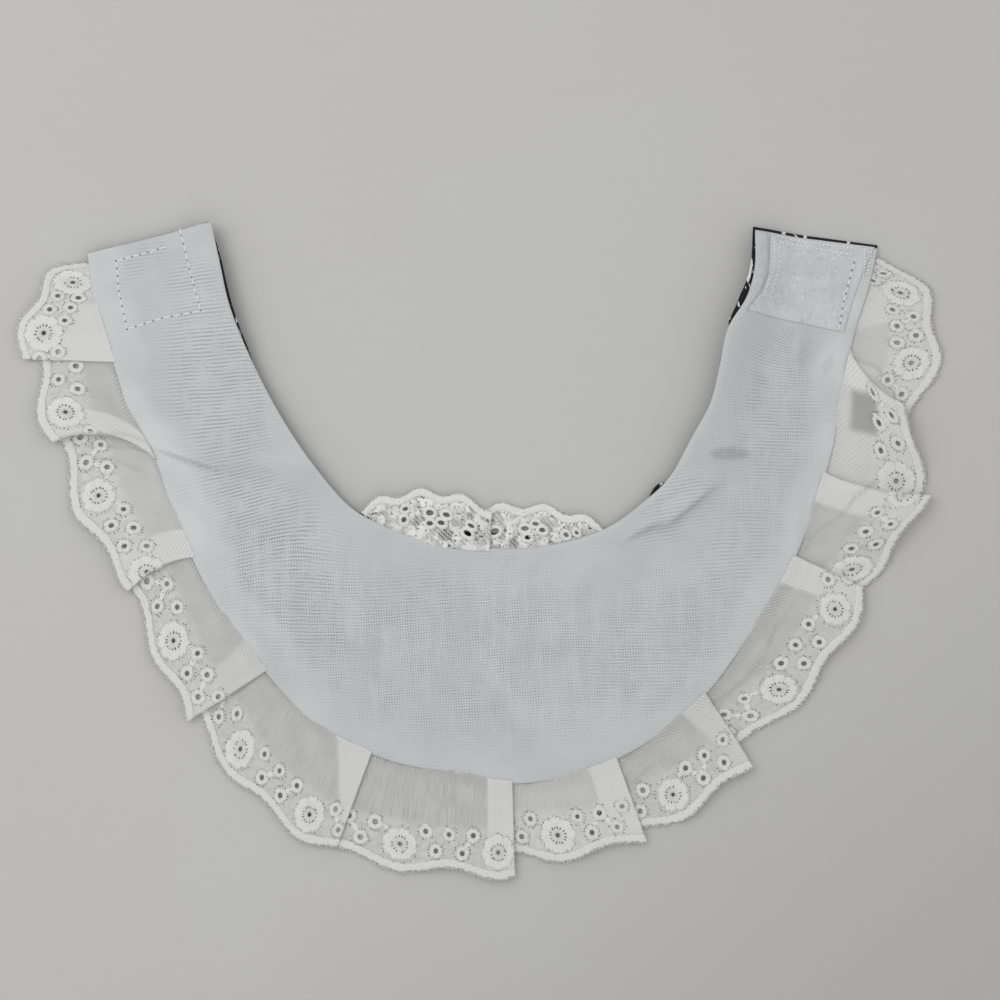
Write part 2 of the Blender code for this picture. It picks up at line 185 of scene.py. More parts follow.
def band_spot(place, across):
    """The spot at this place along the band and share across it, from neck edge to seam."""
    neck = Vector((along_sections("neck_x", place), along_sections("neck_y", place)))
    seam = Vector((along_sections("seam_x", place), along_sections("seam_y", place)))
    return neck.lerp(seam, across)


def band_width(place):
    return (band_spot(place, 1.0) - band_spot(place, 0.0)).length


HOOK_CORNERS = [band_spot(corner.along, corner.across) for corner in HOOK_PATCH]


def beyond_edges(corners, spot):
    """How far the spot lies to the right of each of a patch's edges, followed in their order."""
    for corner, following in zip(corners, corners[1:] + corners[:1]):
        edge = (Vector(following) - Vector(corner)).normalized()
        yield (spot - Vector(corner)).dot(Vector((edge.y, -edge.x)))


def hook_rise(spot):
    """How high the cloth stands on the hook patch at this spot."""
    outside = max(beyond_edges(HOOK_CORNERS, spot))
    return HOOK_HEIGHT * (1.0 - ease((outside - HOOK_MARGIN) / HOOK_EASE))


# A crease is a soft ridge along a line of spots, steeper on its lower side.
Crease = namedtuple("Crease", "height upper_width lower_width line")
RIGHT_ARM_CREASE = [
    (40.4, 2.5), (44.6, 5.1), (47.8, 7.1), (52.9, 7.9), (57.5, 11.1), (62.9, 15.3), (68.6, 19.9),
]
CREASES = [
    Crease(1.0, 3.4, 1.5, [(-90.1, 28.2), (-82.1, 25.8), (-79.9, 24.5), (-76.3, 23.8)]),
    Crease(1.5, 4.2, 1.7, RIGHT_ARM_CREASE),
    Crease(0.6, 3.0, 2.4, [(64.5, 28.6), (72.0, 28.2), (79.0, 26.6)]),
    Crease(0.4, 2.0, 1.4, [(74.3, 6.0), (80.0, 5.2), (85.1, 4.2)]),
]


def beside(line, spot):
    """For each leg of a line, how far along it the spot lies, as a share, and how far away."""
    for start, end in zip(line, line[1:]):
        start = Vector(start)
        run = Vector(end) - start
        share = clamped((spot - start).dot(run) / run.length_squared)
        yield share, spot - start - run * share


def crease_height(crease, spot):
    nearest, height = math.inf, 0.0
    for index, (share, away) in enumerate(beside(crease.line, spot)):
        if away.length < nearest:
            nearest = away.length
            width = crease.upper_width if away.y > 0.0 else crease.lower_width
            fade = math.sin(math.pi * (0.06 + 0.88 * (index + share) / (len(crease.line) - 1)))
            height = crease.height * fade * math.exp(-((nearest / width) ** 2))
    return height


def cloth_height(place, across):
    """Height of the face's under side above the table."""
    spot = band_spot(place, across)
    curl = 1.0 - ease(max(across, 0.0) / LIFT_REACH)
    lift = between_sections("neck_lift", place) * curl * THIN_CURL
    return lift + hook_rise(spot) + sum(crease_height(crease, spot) for crease in CREASES)


def face_edge(place):
    """The share across the band at which the face ends. It stays under the lining where the solids'
    face only just reaches out, because nothing of it is seen there."""
    width = band_width(place)
    reach = between_sections("reach", place) + GLIMPSE_REACH * math.exp(-(((place - GLIMPSE_PLACE) / 0.2) ** 2))
    return -(reach if reach > 0.55 else reach - 0.8 * ease((0.55 - reach) / 0.25)) / width


class SewnEdge:
    """A line a little outside a panel's edge, with each of its points found by its distance along it."""

    FINENESS = 12

    def __init__(self, across, outward):
        count = LAST_SECTION * self.FINENESS
        self.places = [step / self.FINENESS for step in range(count + 1)]
        line = [band_spot(place, across) for place in self.places]
        self.spots = []
        for index, spot in enumerate(line):
            run = line[min(index + 1, count)] - line[max(index - 1, 0)]
            side = Vector((run.y, -run.x)).normalized()
            self.spots.append(spot + side * SEAM_GAP * outward)
        self.lengths = [0.0]
        for before, after in zip(self.spots, self.spots[1:]):
            self.lengths.append(self.lengths[-1] + (after - before).length)

    def spot(self, distance):
        index = min(max(bisect_right(self.lengths, distance) - 1, 0), len(self.lengths) - 2)
        run = self.lengths[index + 1] - self.lengths[index]
        share = (distance - self.lengths[index]) / run
        return self.spots[index].lerp(self.spots[index + 1], share)


def hem_spot(stretch, share):
    """The hem's outermost line: a curve through the stretch's start, middle and tip."""
    start = Vector((stretch.start_x, stretch.start_y))
    middle = Vector((stretch.middle_x, stretch.middle_y))
    tip = Vector((stretch.tip_x, stretch.tip_y))
    return (
        start * 2.0 * (share - 0.5) * (share - 1.0)
        + middle * 4.0 * share * (1.0 - share)
        + tip * 2.0 * share * (share - 0.5)
    )


def hem_length(stretch):
    spots = [hem_spot(stretch, step / HEM_CHORDS) for step in range(HEM_CHORDS + 1)]
    return sum((after - before).length for before, after in zip(spots, spots[1:]))


def bowed(root, tip, bow, down):
    run = tip - root
    side = Vector((run.y, -run.x)).normalized()
    return root.lerp(tip, down) + side * bow * 4.0 * down * (1.0 - down)


class PleatedStrip:
    """A strip of cloth sewn along an edge and folded over itself between its stretches.

    A point of the cloth is given by its stretch, its distance along the hem from the stretch's start
    and its distance in from the hem's outermost line."""

    SEAM_BAND = [2.0] * 12  # how wide the darker, gathered band beside the seam is, stretch by stretch
    DRAWN_AND_WRINKLE_SHADING = {}  # stretch: how strongly it shows streaks, where it isn't the usual little: partly its drawn threads, partly painted shade and highlights of its fine wrinkles
    USUAL_DRAWN_AND_WRINKLE_SHADING = 0.3

    def __init__(self, stretches, edge, first_seam, scallop_depth, table_height):
        self.stretches = stretches
        self.edge = edge
        self.scallop_depth = scallop_depth
        self.table_height = table_height
        self.hems = [hem_length(stretch) for stretch in stretches]
        self.seams = [first_seam] + [stretch.seam - stretch.under for stretch in stretches[:-1]]
        self.ramps = [self.ramp(index) for index in range(len(stretches))]

    def ramp(self, index):
        """The shares of a stretch between which it climbs, at the seam and at the hem."""
        stretch = self.stretches[index]
        seam, hem = stretch.seam - self.seams[index], self.hems[index]
        starts, ends = (0.0, 0.0), (1.0, 1.0)
        if index:
            gap = self.lap(index - 1, 1.0)
            under = self.stretches[index - 1].under
            starts = ((under + RISE_MARGIN) / seam, (gap + RISE_MARGIN) / hem)
        if index < len(self.stretches) - 1:
            gap = self.lap(index, 1.0)
            ends = (1.0 - (stretch.under + RISE_MARGIN) / seam, 1.0 - (gap + RISE_MARGIN) / hem)
        return starts, ends

    def fold_spot(self, index, down):
        stretch = self.stretches[index]
        tip = Vector((stretch.tip_x, stretch.tip_y))
        return bowed(self.edge.spot(stretch.seam), tip, stretch.bow, down)

    def back_spot(self, index, down):
        stretch = self.stretches[index]
        bow = self.stretches[index - 1].bow if index else 0.0
        start = Vector((stretch.start_x, stretch.start_y))
        return bowed(self.edge.spot(self.seams[index]), start, bow, down)

    def lap(self, index, down):
        """From a stretch's fold back to where the cloth turns again under it."""
        return (self.fold_spot(index, down) - self.back_spot(index + 1, down)).length

    def root_spot(self, index, share):
        first = self.seams[index]
        return self.edge.spot(first + (self.stretches[index].seam - first) * share)

    def width(self, index, share):
        """From the seam to the hem's outermost line, at this share of a stretch."""
        return (hem_spot(self.stretches[index], share) - self.root_spot(index, share)).length

    def fold_width(self, index):
        return (self.fold_spot(index, 1.0) - self.fold_spot(index, 0.0)).length

    def fold_height(self, index, down):
        stretch = self.stretches[index]
        if not stretch.under:
            return 0.0
        return 2.0 * FOLD_LAYER + stretch.puff * math.sin(PUFF_TURN * math.pi * max(down, 0.0))

    def scallop(self, index, along):
        """How far the hem lies in from its outermost line: nothing at a motif, most between two."""
        stretch = self.stretches[index]
        turn = (along - stretch.flower) / stretch.repeat
        return self.scallop_depth * 0.5 * (1.0 - math.cos(TURN * turn))

    def settled(self, spot, height, down):
        """The point in space: over the table, with the small waves of cloth that lies loose."""
        free = ease(down / 0.4)
        wave = 0.5 + 0.5 * noise.noise(Vector((spot.x / 15.0, spot.y / 15.0, 4.0)))
        wave += 0.25 * noise.noise(Vector((spot.x / 5.5, spot.y / 5.5, 9.0)))
        height += self.table_height(spot, down) + max(wave, 0.0) * free * WAVE_HEIGHT
        return Vector((spot.x, spot.y, height + CLEAR_OF_TABLE))

    def point(self, index, along, inward, above=0.0):
        """A point this far above the cloth. Past the end of its stretch it turns under the fold."""
        stretch = self.stretches[index]
        share = along / self.hems[index]
        if share > 1.0 and stretch.under:
            return self.turned_past(index, along - self.hems[index], inward, above)
        down = 1.0 - inward / self.width(index, clamped(share))
        root, hem = self.root_spot(index, share), hem_spot(stretch, share)
        back, fold = self.back_spot(index, down), self.fold_spot(index, down)
        sides = self.back_spot(index, 0.0).lerp(self.fold_spot(index, 0.0), share)
        tips = self.back_spot(index, 1.0).lerp(self.fold_spot(index, 1.0), share)
        spot = root.lerp(hem, down) + back.lerp(fold, share) - sides.lerp(tips, down)
        starts, ends = self.ramps[index]
        begin = starts[0] + (starts[1] - starts[0]) * down
        finish = ends[0] + (ends[1] - ends[0]) * down
        climb = ease((share - begin) / (finish - begin))
        height = self.fold_height(index, down) * climb + self.relief(index, along, inward)
        return self.settled(spot, height + above, down)

    def relief(self, index, along, inward):
        """Small pleats and creases of the cloth itself. A strip without any lies smooth."""
        return 0.0

    def whiteness(self, station, inward):
        """How white the cloth looks. A strip whose laps don't show is no whiter anywhere."""
        return 0.0

    def turned_past(self, index, over, inward, above):
        down = 1.0 - inward / self.fold_width(index)
        arc = math.pi * self.fold_height(index, down) / 4.0
        if over < arc:
            return self.turned(index, over / arc, down, above)
        gap = self.lap(index, down)
        return self.turned(index, 1.0 + min((over - arc) / gap, 1.0), down, above)

    def turned(self, index, phase, down, above=0.0):
        """On the fold after a stretch: 0 to 1 turns under, 1 to 2 runs back, 2 to 3 turns again."""
        fold, back = self.fold_spot(index, down), self.back_spot(index + 1, down)
        outward = (fold - back).normalized()
        height = self.fold_height(index, down)
        radius = height / 4.0
        if phase < 1.0:
            angle = math.pi * phase
            spot = fold + outward * (radius + above) * math.sin(angle)
            level = height * 0.75 + (radius + above) * math.cos(angle)
        elif phase <= 2.0:
            spot = fold.lerp(back, phase - 1.0)
            level = height / 2.0 - above
        else:
            angle = math.pi * (phase - 2.0)
            spot = back - outward * (radius - above) * math.sin(angle)
            level = radius + (radius - above) * math.cos(angle)
        return self.settled(spot, level, down)

    def stations(self, step, flap_steps):
        """Along the whole strip: (stretch, distance along it, None) or, on a fold, (stretch, None, phase)."""
        last = len(self.stretches) - 1
        found = []
        for index, hem in enumerate(self.hems):
            count = math.ceil(hem / step)
            found += [(index, hem * tick / count, None) for tick in range(count + 1)]
            if index < last:
                phases = [0.25, 0.5, 0.75]
                phases += [1.0 + tick / flap_steps for tick in range(flap_steps + 1)]
                phases += [2.25, 2.5, 2.75]
                found += [(index, None, phase) for phase in phases]
        return found

    def hem_at(self, station):
        """The hem's distance in from its outermost line, and the strip's width, at a station."""
        index, along, phase = station
        if along is not None:
            return self.scallop(index, along), self.width(index, along / self.hems[index])
        turned = clamped(phase - 1.0)
        here, there = self.scallop(index, self.hems[index]), self.scallop(index + 1, 0.0)
        return here + (there - here) * turned, self.fold_width(index)

    def at(self, station, inward, above=0.0):
        index, along, phase = station
        if along is not None:
            return self.point(index, along, inward, above)
        return self.turned(index, phase, 1.0 - inward / self.fold_width(index), above)


def mesh_piece(name, points, faces):
    mesh = bpy.data.meshes.new(name)
    mesh.from_pydata([on_table(point) for point in points], [], faces)
    mesh.shade_smooth()
    piece = bpy.data.objects.new(name, mesh)
    bpy.context.scene.collection.objects.link(piece)
    return piece


def lay_uv(piece, name, spots):
    """A UV map from one (u, v) a vertex."""
    mesh = piece.data
    layer = mesh.uv_layers.new(name=name)
    flat = []
    for loop in mesh.loops:
        flat.extend(spots[loop.vertex_index])
    layer.data.foreach_set("uv", flat)


def lay_values(piece, name, values):
    """A number for each vertex, for a material to read."""
    layer = piece.data.attributes.new(name, "FLOAT", "POINT")
    layer.data.foreach_set("value", values)


def only(piece):
    bpy.ops.object.select_all(action="DESELECT")
    piece.select_set(True)
    bpy.context.view_layer.objects.active = piece


@contextmanager
def all_in_hand():
    """Edit mode on the active piece, with the whole of it selected."""
    bpy.ops.object.mode_set(mode="EDIT")
    bpy.ops.mesh.select_all(action="SELECT")
    yield
    bpy.ops.object.mode_set(mode="OBJECT")


def new_template(name):
    """The primitive just added, named and without the UV map that it came with."""
    piece = bpy.context.object
    piece.name = name
    for existing in list(piece.data.uv_layers):
        piece.data.uv_layers.remove(existing)
    return piece


def give_wall(piece, thickness):
    only(piece)
    wall = piece.modifiers.new("wall", "SOLIDIFY")
    wall.thickness = thickness * MM
    wall.offset = 0.0
    bpy.ops.object.modifier_apply(modifier=wall.name)


def grid_faces(columns, rows):
    return [
        (column * rows + row, (column + 1) * rows + row, (column + 1) * rows + row + 1, column * rows + row + 1)
        for column in range(columns - 1)
        for row in range(rows - 1)
    ]


def join(pieces, name):
    bpy.ops.object.select_all(action="DESELECT")
    for piece in pieces:
        piece.select_set(True)
    bpy.context.view_layer.objects.active = pieces[0]
    bpy.ops.object.join()
    pieces[0].name = name
    pieces[0].data.name = name
    return pieces[0]


# ---- finishes ----


def add(tree, kind, sockets=None, **settings):
    """A node, with its settings and with each socket set or linked."""
    node = tree.nodes.new(kind)
    for name, value in settings.items():
        setattr(node, name, value)
    for name, value in (sockets or {}).items():
        if is_socket(value):
            tree.links.new(value, node.inputs[name])
        else:
            node.inputs[name].default_value = value
    return node


MIX_FACTOR, MIX_FIRST, MIX_SECOND, MIX_RESULT = 0, 6, 7, 2


def is_socket(value):
    return isinstance(value, bpy.types.NodeSocket)


def blend_colours(factor, first, second):
    """From the first colour to the second one as the factor goes from 0 to 1."""
    ends = [colour if is_socket(colour) else (*colour, 1.0) for colour in (first, second)]
    sockets = {MIX_FACTOR: factor, MIX_FIRST: ends[0], MIX_SECOND: ends[1]}
    return add(factor.id_data, "ShaderNodeMix", sockets, data_type="RGBA").outputs[MIX_RESULT]


def arithmetic(operation, first, second, clamp):
    tree = (first if is_socket(first) else second).id_data
    return add(tree, "ShaderNodeMath", {0: first, 1: second}, operation=operation, use_clamp=clamp).outputs[0]


def times(first, second, clamp=False):
    return arithmetic("MULTIPLY", first, second, clamp)


def plus(first, second):
    return arithmetic("ADD", first, second, False)


def minus(first, second, clamp=False):
    return arithmetic("SUBTRACT", first, second, clamp)


def larger(first, second):
    return arithmetic("MAXIMUM", first, second, False)


def on_object(tree):
    return add(tree, "ShaderNodeTexCoord").outputs["Object"]


def attribute(tree, name):
    return add(tree, "ShaderNodeAttribute", attribute_name=name).outputs["Fac"]


def uv(tree, name):
    return add(tree, "ShaderNodeUVMap", uv_map=name).outputs["UV"]


def speckle(vector, scale, detail=2.0):
    sockets = {"Vector": vector, "Scale": scale, "Detail": detail}
    return add(vector.id_data, "ShaderNodeTexNoise", sockets).outputs["Fac"]


def between(value, low, high):
    """0 at low, 1 at high, and smooth between them."""
    sockets = {"Value": value, "From Min": low, "From Max": high}
    return add(value.id_data, "ShaderNodeMapRange", sockets, interpolation_type="SMOOTHSTEP").outputs["Result"]


WAVE_PERIOD = TURN / 20.0  # the wave texture's own period at scale 1


def ribs(vector, period, axis, distortion=1.0, detail_scale=0.6):
    """Fine straight bands, this many units of the vector apart."""
    sockets = {"Vector": vector, "Scale": WAVE_PERIOD / period, "Distortion": distortion, "Detail": 2.0,
               "Detail Scale": detail_scale}
    return add(vector.id_data, "ShaderNodeTexWave", sockets, bands_direction=axis).outputs["Fac"]


def mapped(vector, **settings):
    """The vector turned or scaled, so that a pattern on it is turned or drawn out."""
    sockets = {name.capitalize(): value for name, value in settings.items()}
    return add(vector.id_data, "ShaderNodeMapping", {"Vector": vector, **sockets}).outputs["Vector"]


def finish(name, roughness, sheen=0.0, alpha=1.0):
    """A new material: its node tree and its shader."""
    material = bpy.data.materials.new(name)
    material.use_nodes = True
    shader = material.node_tree.nodes["Principled BSDF"]
    shader.inputs["Roughness"].default_value = roughness
    shader.inputs["Sheen Weight"].default_value = sheen
    shader.inputs["Sheen Roughness"].default_value = 0.5
    shader.inputs["Specular IOR Level"].default_value = 0.2
    shader.inputs["Alpha"].default_value = alpha
    return material, material.node_tree, shader


def dress(shader, colour, height=None, distance=0.0, strength=1.0):
    """The shader's colour, and its relief this many metres high."""
    tree = shader.id_data
    tree.links.new(colour, shader.inputs["Base Color"])
    if height is not None:
        bump = add(tree, "ShaderNodeBump", {"Height": height, "Distance": distance, "Strength": strength})
        tree.links.new(bump.outputs["Normal"], shader.inputs["Normal"])


def lining_voile():
    material, tree, shader = finish("lining_voile", 0.85, sheen=0.1)
    weave = uv(tree, "weave")
    place = on_object(tree)
    ribbed, hatched = attribute(tree, "ribbed"), attribute(tree, "hatched")
    painted_shade_and_show_through, banded = attribute(tree, "painted_shade_and_show_through"), attribute(tree, "banded")

    # The cloth's own tone, the brighter band of the seam allowance, and the grey ovals: painted shade in the
    # creases and beside the loop patch, and the print showing through in the middle.
    lines = ribs(weave, 0.102, "Y", 2.0, 0.5)
    threads = ribs(weave, 0.06, "X", 3.0, 1.2)
    patches = between(speckle(place, 55.0, 3.0), 0.35, 0.7)
    colour = blend_colours(patches, (0.535, 0.545, 0.552), (0.58, 0.588, 0.593))
    colour = blend_colours(banded, colour, (0.65, 0.655, 0.66))
    colour = blend_colours(painted_shade_and_show_through, colour, (0.36, 0.385, 0.40))

    # The ribs of the arms: dark furrows and light threads, coming and going.
    wanders = between(speckle(weave, 2.6, 4.0), 0.30, 0.58)
    strength = times(ribbed, wanders)
    rungs = plus(times(between(threads, 0.2, 0.8), 0.45), 0.55)
    dark = times(between(lines, 0.5, 0.95), times(strength, rungs))
    colour = blend_colours(times(dark, 0.75), colour, (0.24, 0.25, 0.265))
    light = times(between(lines, 0.45, 0.1), strength)
    colour = blend_colours(times(light, 0.45), colour, (0.70, 0.705, 0.71))

    # The open cross-hatch of the middle: a dark hole between threads, and a glint where they cross.
    tilted = mapped(weave, rotation=(0.0, 0.0, -0.06))
    weft = ribs(tilted, 0.077, "Y", 3.0, 1.6)
    warp = ribs(tilted, 0.073, "X", 3.0, 1.6)
    loose = between(speckle(weave, 1.3, 6.0), 0.44, 0.66)
    woven = times(hatched, plus(times(loose, 0.45), 0.55))
    combed = mapped(weave, scale=(1.0, 0.12, 1.0))
    bars = times(between(speckle(combed, 3.2, 3.0), 0.5, 0.62), hatched)
    colour = blend_colours(times(bars, 0.22), colour, (0.68, 0.685, 0.69))
    hole = times(between(warp, 0.35, 0.85), between(weft, 0.35, 0.85))
    hatch = times(hole, woven)
    colour = blend_colours(times(hatch, 0.85), colour, (0.22, 0.23, 0.245))
    knot = times(between(warp, 0.5, 0.15), between(weft, 0.5, 0.15))
    glint = times(knot, woven)
    colour = blend_colours(times(glint, 0.6), colour, (0.74, 0.745, 0.75))

    haze = between(speckle(weave, 0.9, 5.0), 0.5, 0.68)
    haze = times(haze, hatched)
    colour = blend_colours(times(haze, 0.16), colour, (0.33, 0.345, 0.36))
    dress(shader, colour, plus(light, knot), 0.00012, 0.5)
    return material


def printed_cotton():
    material, tree, shader = finish("printed_cotton", 0.85, sheen=0.1)
    place = on_object(tree)
    turned = mapped(place, rotation=(0.0, 0.0, 0.5), scale=(1.0, 0.3, 1.0))
    strokes = between(speckle(turned, 620.0, 3.0), 0.38, 0.42)
    clumps = between(speckle(place, 90.0, 1.0), 0.25, 0.32)
    ink = times(strokes, clumps)
    colour = blend_colours(ink, (0.72, 0.72, 0.70), (0.012, 0.012, 0.014))
    dress(shader, colour, speckle(place, 2600.0), 0.00005, 0.4)
    return material


def eyelet_voile():
    material, tree, shader = finish("eyelet_voile", 0.85, sheen=0.15, alpha=0.72)
    lace = uv(tree, "lace")
    streaks = speckle(mapped(lace, scale=(14.0, 0.9, 1.0)), 1.6, 5.0)
    threads = ribs(lace, 0.06, "DIAGONAL", 2.4, 1.4)
    mottle = between(speckle(lace, 1.1, 4.0), 0.35, 0.65)
    single = blend_colours(mottle, (0.60, 0.605, 0.585), (0.68, 0.685, 0.665))
    double = blend_colours(mottle, (0.83, 0.835, 0.815), (0.87, 0.875, 0.86))
    colour = blend_colours(attribute(tree, "whiteness"), single, double)
    # Painted shade: darker in the gap under a raised fold and along the creases.
    colour = blend_colours(attribute(tree, "gap_shade"), colour, (0.47, 0.475, 0.455))
    # Streaks: partly the cloth's drawn threads, partly painted shade in the hollows of its fine wrinkles (thin,
    # dark) and painted highlights on their ridges (thick, light).
    drawn_and_wrinkle_shading = minus(1.0, times(attribute(tree, "whiteness"), 0.85), clamp=True)
    drawn_and_wrinkle_shading = times(attribute(tree, "drawn_and_wrinkle_shading"), drawn_and_wrinkle_shading)
    thin = times(between(streaks, 0.53, 0.66), times(drawn_and_wrinkle_shading, 0.45))
    colour = blend_colours(thin, colour, (0.40, 0.405, 0.385))
    thick = times(between(streaks, 0.45, 0.33), times(drawn_and_wrinkle_shading, 0.45))
    colour = blend_colours(thick, colour, (0.84, 0.845, 0.83))
    seam = times(attribute(tree, "seam_shade"), between(threads, 0.2, 0.9))
    seam = times(seam, between(mottle, -0.3, 1.0))
    seam = times(seam, minus(1.0, attribute(tree, "whiteness"), clamp=True))
    colour = blend_colours(times(seam, 0.5), colour, (0.28, 0.29, 0.27))
    woven = times(between(threads, 0.3, 0.9), plus(mottle, 0.3))
    colour = blend_colours(times(woven, 0.16, clamp=True), colour, (0.36, 0.365, 0.345))
    dress(shader, colour, streaks, 0.00025, 0.5)
    return material


def satin_thread(name, colour_low, colour_high):
    material, tree, shader = finish(name, 0.65, sheen=0.3)
    stitch = uv(tree, "stitch")
    threads = ribs(stitch, 0.032, "X", 3.5, 1.5)
    fuzz = speckle(stitch, 14.0, 3.0)
    mixed = times(between(threads, 0.0, 0.6), between(fuzz, 0.25, 0.5))
    colour = blend_colours(mixed, colour_low, colour_high)
    dress(shader, colour, plus(threads, fuzz), 0.0001, 0.6)
    return material


def frill_ground():
    material, tree, shader = finish("frill_ground", 0.85, sheen=0.2, alpha=0.95)
    place = on_object(tree)
    netted = attribute(tree, "netted")
    rungs = ribs(place, 0.00072, "DIAGONAL", 4.5, 420.0)
    cross = ribs(place, 0.0005, "X", 3.0, 500.0)
    pits = between(speckle(place, 1100.0, 2.0), 0.57, 0.66)
    torn = between(speckle(place, 330.0, 3.0), 0.42, 0.6)
    netted = times(netted, torn)
    mottle = between(speckle(place, 260.0, 3.0), 0.4, 0.6)
    gaps = times(between(rungs, 0.5, 0.85), netted)
    gaps = larger(gaps, times(between(cross, 0.75, 0.95), netted))
    gaps = larger(gaps, times(pits, plus(mottle, 0.15)))
    colour = blend_colours(mottle, (0.76, 0.765, 0.74), (0.87, 0.875, 0.85))
    colour = blend_colours(times(gaps, 0.85, clamp=True), colour, (0.11, 0.115, 0.11))
    dress(shader, colour, minus(1.0, gaps), 0.0003, 0.7)
    return material


def loop_pile():
    material, tree, shader = finish("loop_pile", 0.95, sheen=0.5)
    place = on_object(tree)
    curls = add(tree, "ShaderNodeTexVoronoi", {"Vector": place, "Scale": 1500.0}).outputs["Distance"]
    fuzz = speckle(place, 900.0, 4.0)
    mottle = between(speckle(place, 160.0, 3.0), 0.35, 0.7)
    colour = blend_colours(mottle, (0.55, 0.569, 0.594), (0.61, 0.624, 0.638))
    colour = blend_colours(between(fuzz, 0.6, 0.75), colour, (0.76, 0.775, 0.79))
    colour = blend_colours(times(between(fuzz, 0.42, 0.3), 0.5), colour,
                           (0.39, 0.41, 0.435))
    dress(shader, colour, plus(fuzz, curls), 0.0002, 0.6)
    return material


def hook_weave():
    material, tree, shader = finish("hook_weave", 0.6, sheen=0.1)
    place = on_object(tree)
    rows = ribs(place, 0.0012, "Y", 0.3)
    colour = blend_colours(rows, (0.60, 0.61, 0.63), (0.76, 0.77, 0.78))
    dress(shader, colour, rows, 0.0002, 0.5)
    return material


def sewing_thread():
    material, tree, shader = finish("sewing_thread", 0.5, sheen=0.3)
    place = on_object(tree)
    twist = ribs(place, 0.0004, "DIAGONAL", 0.5)
    colour = blend_colours(twist, (0.74, 0.75, 0.76), (0.84, 0.845, 0.85))
    dress(shader, colour, twist, 0.00005, 0.5)
    return material


# Painted shade for needle holes: a dark disc's colour stands in for the shade inside a hole, darkest where it is
# deepest.
def needle_hole_shade(name, deepest, shallowest):
    material, tree, shader = finish(name, 0.9)
    place = on_object(tree)
    depth = between(speckle(place, 1500.0), 0.35, 0.65)
    dress(shader, blend_colours(depth, deepest, shallowest))
    return material


# ---- panels ----

LINING_STEPS = 18  # columns between two sections
LINING_ROWS = 84
FACE_STEPS = 8
FACE_ROWS = 40
EDGE_CROWDING = 0.6  # how much closer the rows lie at both edges

# Where the voile's weave shows as ribs or as a cross-hatch, and where it is greyer, partly by painted shade
# in the troughs of its creases and beside the loop patch's left edge, partly by the print showing through in
# the middle: soft ovals, each with its middle, half length, half width, turn in degrees and strength.
Oval = namedtuple("Oval", "x y length width turn strength")


def ovals(*rows):
    return rows_of(Oval, rows)


RIBBED = ovals(
    (-74.0, 47.0, 30.0, 17.0, 100.0, 0.9), (-66.0, 10.0, 26.0, 15.0, 150.0, 1.0),
    (-56.0, -12.0, 28.0, 18.0, 130.0, 0.8), (-81.5, 76.0, 8.0, 7.0, 10.0, 0.8),
    (-98.0, 80.0, 4.0, 4.0, 10.0, 0.5), (-93.0, 85.0, 7.0, 3.0, 15.0, 0.5),
    (86.0, 40.0, 26.0, 13.0, 80.0, 0.6), (79.0, 80.0, 13.0, 5.0, 88.0, 1.0),
    (88.0, 56.0, 12.0, 8.0, 0.0, 0.8), (76.0, -4.0, 22.0, 15.0, 60.0, 0.5),
    (52.0, -28.0, 28.0, 18.0, 30.0, 0.45), (56.0, 12.0, 16.0, 9.0, 40.0, 0.55),
    (-22.0, -14.0, 30.0, 9.0, 8.0, 0.5), (-48.0, -24.0, 20.0, 14.0, 0.0, 0.35),
)
HATCHED = ovals(
    (0.0, -30.0, 60.0, 27.0, 0.0, 1.0), (50.0, -26.0, 30.0, 22.0, 40.0, 0.8),
    (-50.0, -14.0, 34.0, 22.0, -40.0, 0.9), (-72.0, 42.0, 34.0, 18.0, 100.0, 0.25),
    (84.0, 30.0, 40.0, 18.0, 75.0, 0.55),
)
# The greyer ovals: painted shade in the creases' troughs and beside the loop patch's left edge, and the print
# showing through in the middle.
PAINTED_SHADE_AND_SHOW_THROUGH = ovals(
    (-65.0, 22.4, 10.0, 2.6, -4.0, 0.26), (-84.0, 25.9, 9.0, 0.7, -17.0, 0.45),
    (-78.6, 24.1, 5.5, 0.55, -16.0, 0.6), (-54.0, 20.0, 10.0, 4.5, -14.0, 0.10),
    (71.0, 27.4, 6.5, 2.0, 0.0, 0.75), (60.6, 12.7, 10.0, 0.9, 40.0, 0.5), (47.0, 5.6, 8.0, 0.8, 28.0, 0.4),
    (-77.0, 66.0, 7.0, 2.2, 10.0, 0.12), (-73.0, 57.0, 6.0, 2.2, 0.0, 0.10),
    (12.0, -18.0, 30.0, 8.0, 5.0, 0.08), (-2.0, -21.0, 3.5, 2.0, 0.0, 0.16),
    (9.0, -31.0, 2.5, 1.8, 0.0, 0.2), (-3.0, -30.0, 2.5, 1.6, 0.0, 0.14),
    (-1.0, -47.0, 3.0, 1.4, -20.0, 0.2), (8.0, -50.5, 3.0, 2.0, 0.0, 0.16),
    (-8.0, -40.0, 3.0, 2.0, 0.0, 0.14), (-87.0, 83.0, 7.0, 2.5, 20.0, 0.10),
    (81.9, 84.0, 7.0, 0.6, 94.0, 0.6), (80.4, 75.5, 3.4, 0.6, 70.0, 0.6), (77.6, 70.4, 4.2, 0.6, 53.0, 0.6),
    (92.0, 55.5, 5.0, 2.0, 80.0, 0.25), (99.0, 52.5, 3.0, 1.6, 60.0, 0.25),
)

